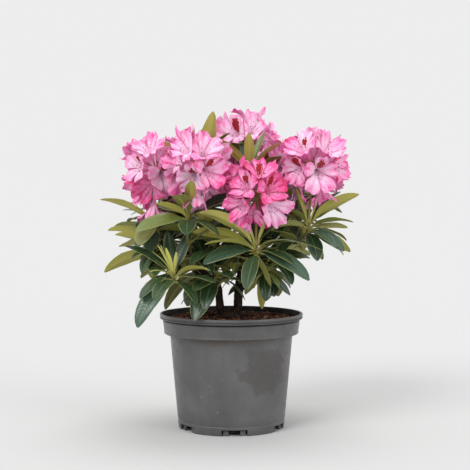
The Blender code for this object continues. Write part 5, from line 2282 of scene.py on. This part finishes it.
@dataclass
class Trusses:
    """All flowers: corollas by truss, and their stamens and stalks."""

    corolla: Corolla = Corolla()
    colours: tuple = (
        (253, 221, 244), (254, 202, 234), (254, 178, 220), (251, 145, 200),
        (241, 98, 164), (220, 54, 108), (160, 22, 34), (116, 12, 24),
    )
    levels: tuple[float, ...] = (0.18, 0.34, 0.52, 0.72, 0.96)
    blotch_place: float = 0.0128
    blotch_half: Span = (0.0072, 0.0102)
    flecks: int = 90
    fleck_long: Span = (0.0009, 0.0018)
    fleck_wide: Span = (0.00035, 0.0006)
    fleck_height: float = 0.00016
    stamens: int = 6
    style_length: float = 0.053
    stamen_lengths: Span = (0.04, 0.05)
    stamen_spreads: Span = (0.0035, 0.0085)

    def finishes(self) -> list[Finish]:
        """Finishes in the order of PetalTone. The blotch and its flecks let no light through.

        Returns:
            The finishes.
        """
        return [
            Finish(
                f"petal_{tone.name.lower()}", colour, (0.5, 0.66), 320.0, 0.00006, folds=0.00025, specular=0.3,
                sheen=0.15, subsurface=0.0 if tone.value >= PetalTone.BLOTCH.value else 0.2,
                glow=(0.006, 0.0028, 0.0046),
            )
            for tone, colour in zip(PetalTone, self.colours, strict=True)
        ]

    def oval(self, points: Array, flowers: list[Flower]) -> Array:
        """Tells how far points are from the blotch's middle, across the mouth: 1 is its oval edge.

        Args:
            points, flowers: Points shaped (flowers, ..., 3), and the flowers.

        Returns:
            The sum of squares, larger than 4 below the axis, without the last dimension.
        """
        spread = (slice(None), *([None] * (points.ndim - 2)))
        size, scale = gather(flowers, "size")[spread], np.maximum(gather(flowers, "blotch"), 0.01)[spread]
        local = points - gather(flowers, "foot")[spread]
        y, x = (np.sum(local * side[spread], axis=-1) / size for side in flower_frame(gather(flowers, "axis")))
        oval = (x / self.blotch_half[0] / scale) ** 2
        return oval + ((y - self.blotch_place) / self.blotch_half[1] / scale) ** 2 + 4 * (y < 0.001)

    def add_flecks(self, batch: Batch, points: Array, flowers: list[Flower], rng: Rng) -> None:
        """Strews flecks over the topmost lobes' blotches, thinner towards the edge.

        Each is a long flat double pyramid, set on the surface between four points of the grid.

        Args:
            batch: Where the flecks go.
            points, flowers: Grids of the flowers, and the flowers.
            rng: Seeded source.
        """
        shape, half = (len(flowers), self.flecks), self.corolla.per_lobe / 2
        row = rng.uniform(0.22, 0.93, shape) * (self.corolla.rows - 1)
        column = half + rng.uniform(-0.8, 0.8, shape) * half
        i, j, each = row.astype(int), column.astype(int), np.arange(len(flowers))[:, None]
        u, v = (row - i)[..., None], (column - j)[..., None]
        a, b, c, d = (points[each, i + down, j + aside] for down in (0, 1) for aside in (0, 1))
        middle = (a * (1 - v) + b * v) * (1 - u) + (c * (1 - v) + d * v) * u
        along = unit((c - a) * (1 - v) + (d - b) * v)
        normal = unit(np.cross(along, b - a))
        kept = self.oval(middle, flowers) < rng.uniform(0.5, 1.5, shape)
        middle, along, normal = middle[kept], along[kept], normal[kept]
        number = len(middle)
        if not number:
            return
        long = rng.uniform(*self.fleck_long, (number, 1)) * along
        wide = rng.uniform(*self.fleck_wide, (number, 1)) * np.cross(normal, along)
        middle, high = middle + 0.00006 * normal, self.fleck_height * normal
        corners = np.stack([middle + corner for corner in (-long, wide, long, -wide, high, -high)], axis=1)
        faces = np.array([(0, 4, 1), (1, 4, 2), (2, 4, 3), (3, 4, 0), (1, 5, 0), (2, 5, 1), (3, 5, 2), (0, 5, 3)])
        tone = np.where(rng.uniform(0, 1, number) < 0.6, PetalTone.BLOTCH.value, PetalTone.SPECK.value)
        batch.add(corners, faces, tone[:, None])

    def tones(self, points: Array, flowers: list[Flower], rng: Rng) -> Pair:
        """Slots of the flowers' faces: deeper to the rim and, more outside, down each lobe's middle.

        The topmost lobe bears the blotch's core.

        Args:
            points, flowers: Grids of the flowers, and the flowers.
            rng: Seeded source.

        Returns:
            Slots of the inner faces and of the outer faces.
        """
        shares, per_lobe, column = self.corolla.reaches(), self.corolla.per_lobe, np.arange(self.corolla.columns)
        count, q = len(flowers), ((shares[1:] + shares[:-1]) / 2)[:, None]
        a = 2 * ((column % per_lobe) + 0.5) / per_lobe - 1
        shape = (count, len(q), len(column))
        depth = gather(flowers, "depth")[:, None, None]
        depth = depth + rng.normal(0, 0.09, (count, 1, 5))[..., column // per_lobe]
        stripe, rim = np.exp(-((a / 0.16) ** 2)) * ease(q, 0.2, 0.5), ease(q, 0.5, 1.0)
        inner = 0.16 + 0.4 * rim + 0.2 * stripe + 0.2 * ease(q, 0.35, 0.05)
        inner = inner + 0.1 * ease(np.abs(a), 0.5, 1.0) * ease(q, 0.45, 0.9)
        inner = inner + depth + rng.normal(0, 0.06, shape)
        outer = 0.36 + 0.38 * np.exp(-((a / 0.24) ** 2)) + 0.18 * rim + 0.15 * ease(q, 0.5, 0.0)
        outer = outer + depth + rng.normal(0, 0.05, shape)
        middle = (points[:, 1:] + points[:, :-1]) / 2
        oval = self.oval((middle + np.roll(middle, -1, axis=2)) / 2, flowers) + rng.normal(0, 0.1, shape)
        front = np.where(oval < 0.62, PetalTone.BLOTCH.value, np.digitize(inner, self.levels))
        return front.reshape(count, -1), np.digitize(outer, self.levels).reshape(count, -1)

    def build(self, crown: Crown, materials: list[Material]) -> list[Object]:
        """Makes the corollas of every truss.

        Args:
            crown, materials: The grown crown, and the materials in the order of PetalTone.

        Returns:
            The pieces.
        """
        built = []
        for index, (name, flowers) in enumerate(crown.flowers.items()):
            if flowers:
                batch, rng = Batch(), seeded(index, 41)
                points = self.corolla.crowd(self.corolla.points(flowers, rng), flowers)
                batch.add_sheet(points, self.corolla.thickness, *self.tones(points, flowers, rng), wrap=True)
                self.add_flecks(batch, points, flowers, rng)
                piece = batch.build(f"petals_{name}", materials, 70)
                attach(piece, BODY)
                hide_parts(f"truss_{name}")
                built.append(piece)
        return built

    def build_stamens(self, crown: Crown, materials: list[Material]) -> Object:
        """Makes filaments with their anthers, and each flower's style with its stigma.

        They leave the throat in a ring, spread to their ends, and sag by half a sine on the way.

        Args:
            crown, materials: The grown crown, and filament, anther and stigma.

        Returns:
            The piece.
        """
        rng, flowers, number, batch = seeded(42), sum(crown.flowers.values(), []), self.stamens + 1, Batch()
        count, axes, feet = len(flowers), gather(flowers, "axis"), gather(flowers, "foot")[:, None]
        sizes, (upward, across) = gather(flowers, "size")[:, None, None], flower_frame(axes)
        axes, upward, across = axes[:, None], upward[:, None], across[:, None]
        turn = 2 * np.pi * (np.arange(number) + rng.uniform(-0.3, 0.3, (count, number))) / number
        spread = np.sin(turn)[..., None] * across + np.cos(turn)[..., None] * upward
        length = rng.uniform(*self.stamen_lengths, (count, number, 1))
        length[:, 0] = self.style_length
        wide = rng.uniform(*self.stamen_spreads, (count, number, 1))
        end = feet + sizes * (length * axes + wide * spread) - 0.0035 * upward + 0.25 * wide * upward
        start = feet + sizes * 0.019 * axes + 0.0009 * spread
        t = np.linspace(0, 1, 5)[:, None, None, None]
        lines = start + t * (end - start) + 0.0025 * np.sin(np.pi * t) * (-upward + 0.6 * spread)
        lines = np.moveaxis(lines, 0, 2).reshape(count * number, 5, 3)
        batch.add_tubes(lines, np.array((0.00042, 0.00036, 0.00032, 0.0003, 0.00028)), 3)
        steps, along = np.array((-0.0011, -0.0004, 0.0004, 0.0011)), unit(lines[:, -1] - lines[:, -2])
        pods = lines[:, -1:] + steps[:, None] * along[:, None]
        kinds = np.tile([2] + [1] * self.stamens, count)
        batch.add_tubes(pods, np.array((0.0003, 0.00068, 0.00068, 0.0003)), 5, kinds)
        piece = batch.build("stamens", materials, 60)
        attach(piece, BODY)
        return piece

    def build_stalks(self, crown: Crown, materials: list[Material]) -> Object:
        """Makes each truss's stalk as a curve, and the flowers' straight stalks, widened to small cups.

        Args:
            crown, materials: The grown crown, and the stalks' finish.

        Returns:
            The piece.
        """
        batch, flowers = Batch(), sum(crown.flowers.values(), [])
        stalks, sizes = (gather(flowers, field)[:, None, None] for field in ("stalk", "size"))
        steps = np.array((0.0, 0.006, 0.012, 0.0155, 0.0175, 0.0195))[:, None]
        reach = sizes * steps + stalks * ease(steps, 0.0, 0.0155)
        lines = gather(flowers, "heart")[:, None] + reach * gather(flowers, "axis")[:, None]
        batch.add_tubes(lines, np.array((0.0011, 0.001, 0.0011, 0.0014, 0.0021, 0.0024)), 8)
        for shoot in sum(MASSES.values(), ()):
            if shoot.heart:
                tip, heart, lean = np.array(shoot.tip), np.array(shoot.heart), crown.skeleton.lean(shoot)
                ends = (tip - 0.002 * lean, tip + 0.01 * lean, heart - 0.01 * lean, heart + 0.006 * lean)
                batch.add_tubes(bezier(*ends, 12)[0][None], np.linspace(0.0026, 0.0016, 12), 10)
        piece = batch.build("flower_stalks", materials, 60)
        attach(piece, BODY)
        return piece


@dataclass(frozen=True)
class SoftLight:
    """A wide, soft source far off: the side it shines from, its width in degrees and its strength."""

    name: str
    side: Place
    width: float
    strength: float


@dataclass
class Studio:
    """Plain pale floor and world, soft lamps, and the camera at the photograph's angle.

    The lamps are far off, so the floor is as bright everywhere as the world above its far edge.
    """

    camera_place: Place = (0.0059, -1.95, 0.388)
    camera_aim: Place = (0.0059, 0.0, 0.309)
    lens: float = 93.06
    floor_size: float = 400.0
    floor_shade: float = 0.57
    world_shade: float = 0.85
    lamps: tuple[SoftLight, ...] = (
        SoftLight("key", (-1.5, -2.0, 2.0), 27.0, 1.4),
        SoftLight("fill", (2.2, -1.6, 1.0), 32.0, 0.6),
        SoftLight("top", (0.2, 0.5, 2.3), 34.0, 0.96),
    )

    @staticmethod
    def place(data: bpy.types.ID, location: Place, aim: Vector) -> Object:
        """Puts a lamp or the camera into the scene.

        Args:
            data: The lamp or camera.
            location, aim: Its place, and the direction in which it looks.

        Returns:
            The object.
        """
        placed = bpy.data.objects.new(data.name, data)
        placed.location, placed.rotation_euler = location, aim.to_track_quat("-Z", "Y").to_euler()
        bpy.context.scene.collection.objects.link(placed)
        return placed

    def build(self) -> None:
        """Sets up floor, world, lamps, camera and the plain view transform."""
        scene, half = bpy.context.scene, self.floor_size / 2
        scene.view_settings.view_transform = "Standard"
        scene.world = bpy.data.worlds.new("studio")
        scene.world.use_nodes = True
        scene.world.node_tree.nodes["Background"].inputs["Color"].default_value = (*[self.world_shade] * 3, 1)
        mesh = bpy.data.meshes.new("studio_floor")
        mesh.from_pydata([(-half, -half, 0), (half, -half, 0), (half, half, 0), (-half, half, 0)], [], [(0, 1, 2, 3)])
        mesh.materials.append(bpy.data.materials.new("studio_floor"))
        mesh.materials[0].use_nodes = True
        net, shade = Net(mesh.materials[0].node_tree), (*[self.floor_shade] * 3, 1)
        net.put(net.tree.nodes["Principled BSDF"], Base_Color=shade, Roughness=0.9, Specular_IOR_Level=0.0)
        floor = bpy.data.objects.new("studio_floor", mesh)
        scene.collection.objects.link(floor)
        for lamp in self.lamps:
            light = bpy.data.lights.new(lamp.name, "SUN")
            light.angle, light.energy = math.radians(lamp.width), lamp.strength
            self.place(light, lamp.side, -Vector(lamp.side))
        camera = bpy.data.cameras.new("camera")
        camera.lens, camera.sensor_width = self.lens, 36.0
        aim = Vector(self.camera_aim) - Vector(self.camera_place)
        scene.camera = self.place(camera, self.camera_place, aim)


def dress(effects: Effects, *finishes: Finish | EarthFinish | PotFinish) -> list[Material]:
    """Makes the material of each finish."""
    return [finish.material(effects) for finish in finishes]


def main() -> None:
    """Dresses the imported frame, piece by piece, and reports each."""
    logging.basicConfig(level=logging.INFO, format="%(message)s")
    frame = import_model()
    effects, crown = Effects(), Crown(frame["nodes"])
    crown.grow()
    counts = {name: (len(crown.leaves[name]), len(crown.flowers[name])) for name in MASSES}
    LOG.info("crown: %s leaves and flowers by mass, %d not matched", counts, crown.missed)
    inside_shade = EarthFinish("pot_inside", (22, 19, 18), (52, 48, 46), 60.0, roughness=(0.6, 0.8), relief=0.0001)
    report(*Pot().build(dress(effects, PotFinish(), inside_shade)))
    compost, wood, foliage, trusses = Compost(), Wood(), Foliage(), Trusses()
    report(compost.build(*dress(effects, EarthFinish("compost", (36, 21, 14), (92, 56, 40), 220.0))))
    crumbs = (
        EarthFinish("crumb_dark", (34, 20, 14), (66, 40, 28), 300.0),
        EarthFinish("crumb_brown", (74, 42, 28), (112, 68, 46), 300.0),
        EarthFinish("crumb_red", (108, 56, 36), (150, 88, 58), 300.0),
        EarthFinish("crumb_pale", (130, 92, 66), (170, 134, 104), 300.0),
    )
    report(compost.build_crumbs(dress(effects, *crumbs)))
    # The bark's near-black browns are painted shade of the crown over the limbs.
    bark = EarthFinish("bark", (20, 14, 10), (60, 44, 32), 120.0, relief=0.0004, fissures=0.0012)
    report(wood.build(crown.skeleton, *dress(effects, bark)))
    report(wood.build_twigs(crown, *dress(effects, Finish("twig_green", (96, 92, 52), (0.45, 0.65), 200.0, 0.0002))))
    report(*foliage.build(crown, dress(effects, *foliage.finishes())))
    report(*trusses.build(crown, dress(effects, *trusses.finishes())))
    inner = (
        Finish("filament", (240, 196, 216), (0.45, 0.6), subsurface=0.2),
        Finish("anther", (104, 66, 52), (0.6, 0.8), 500.0),
        Finish("stigma", (196, 60, 90), (0.4, 0.55), 500.0),
    )
    report(trusses.build_stamens(crown, dress(effects, *inner)))
    stalk = Finish("flower_stalk", (150, 132, 74), (0.45, 0.6), 240.0)
    report(trusses.build_stalks(crown, dress(effects, stalk)))
    Studio().build()


def report(*pieces: Object) -> None:
    """Reports finished pieces and their numbers of triangles.

    Args:
        *pieces: The pieces.
    """
    for piece in pieces:
        piece.data.calc_loop_triangles()
        LOG.info("%s: %d triangles", piece.name, len(piece.data.loop_triangles))


if __name__ == "__main__":
    main()
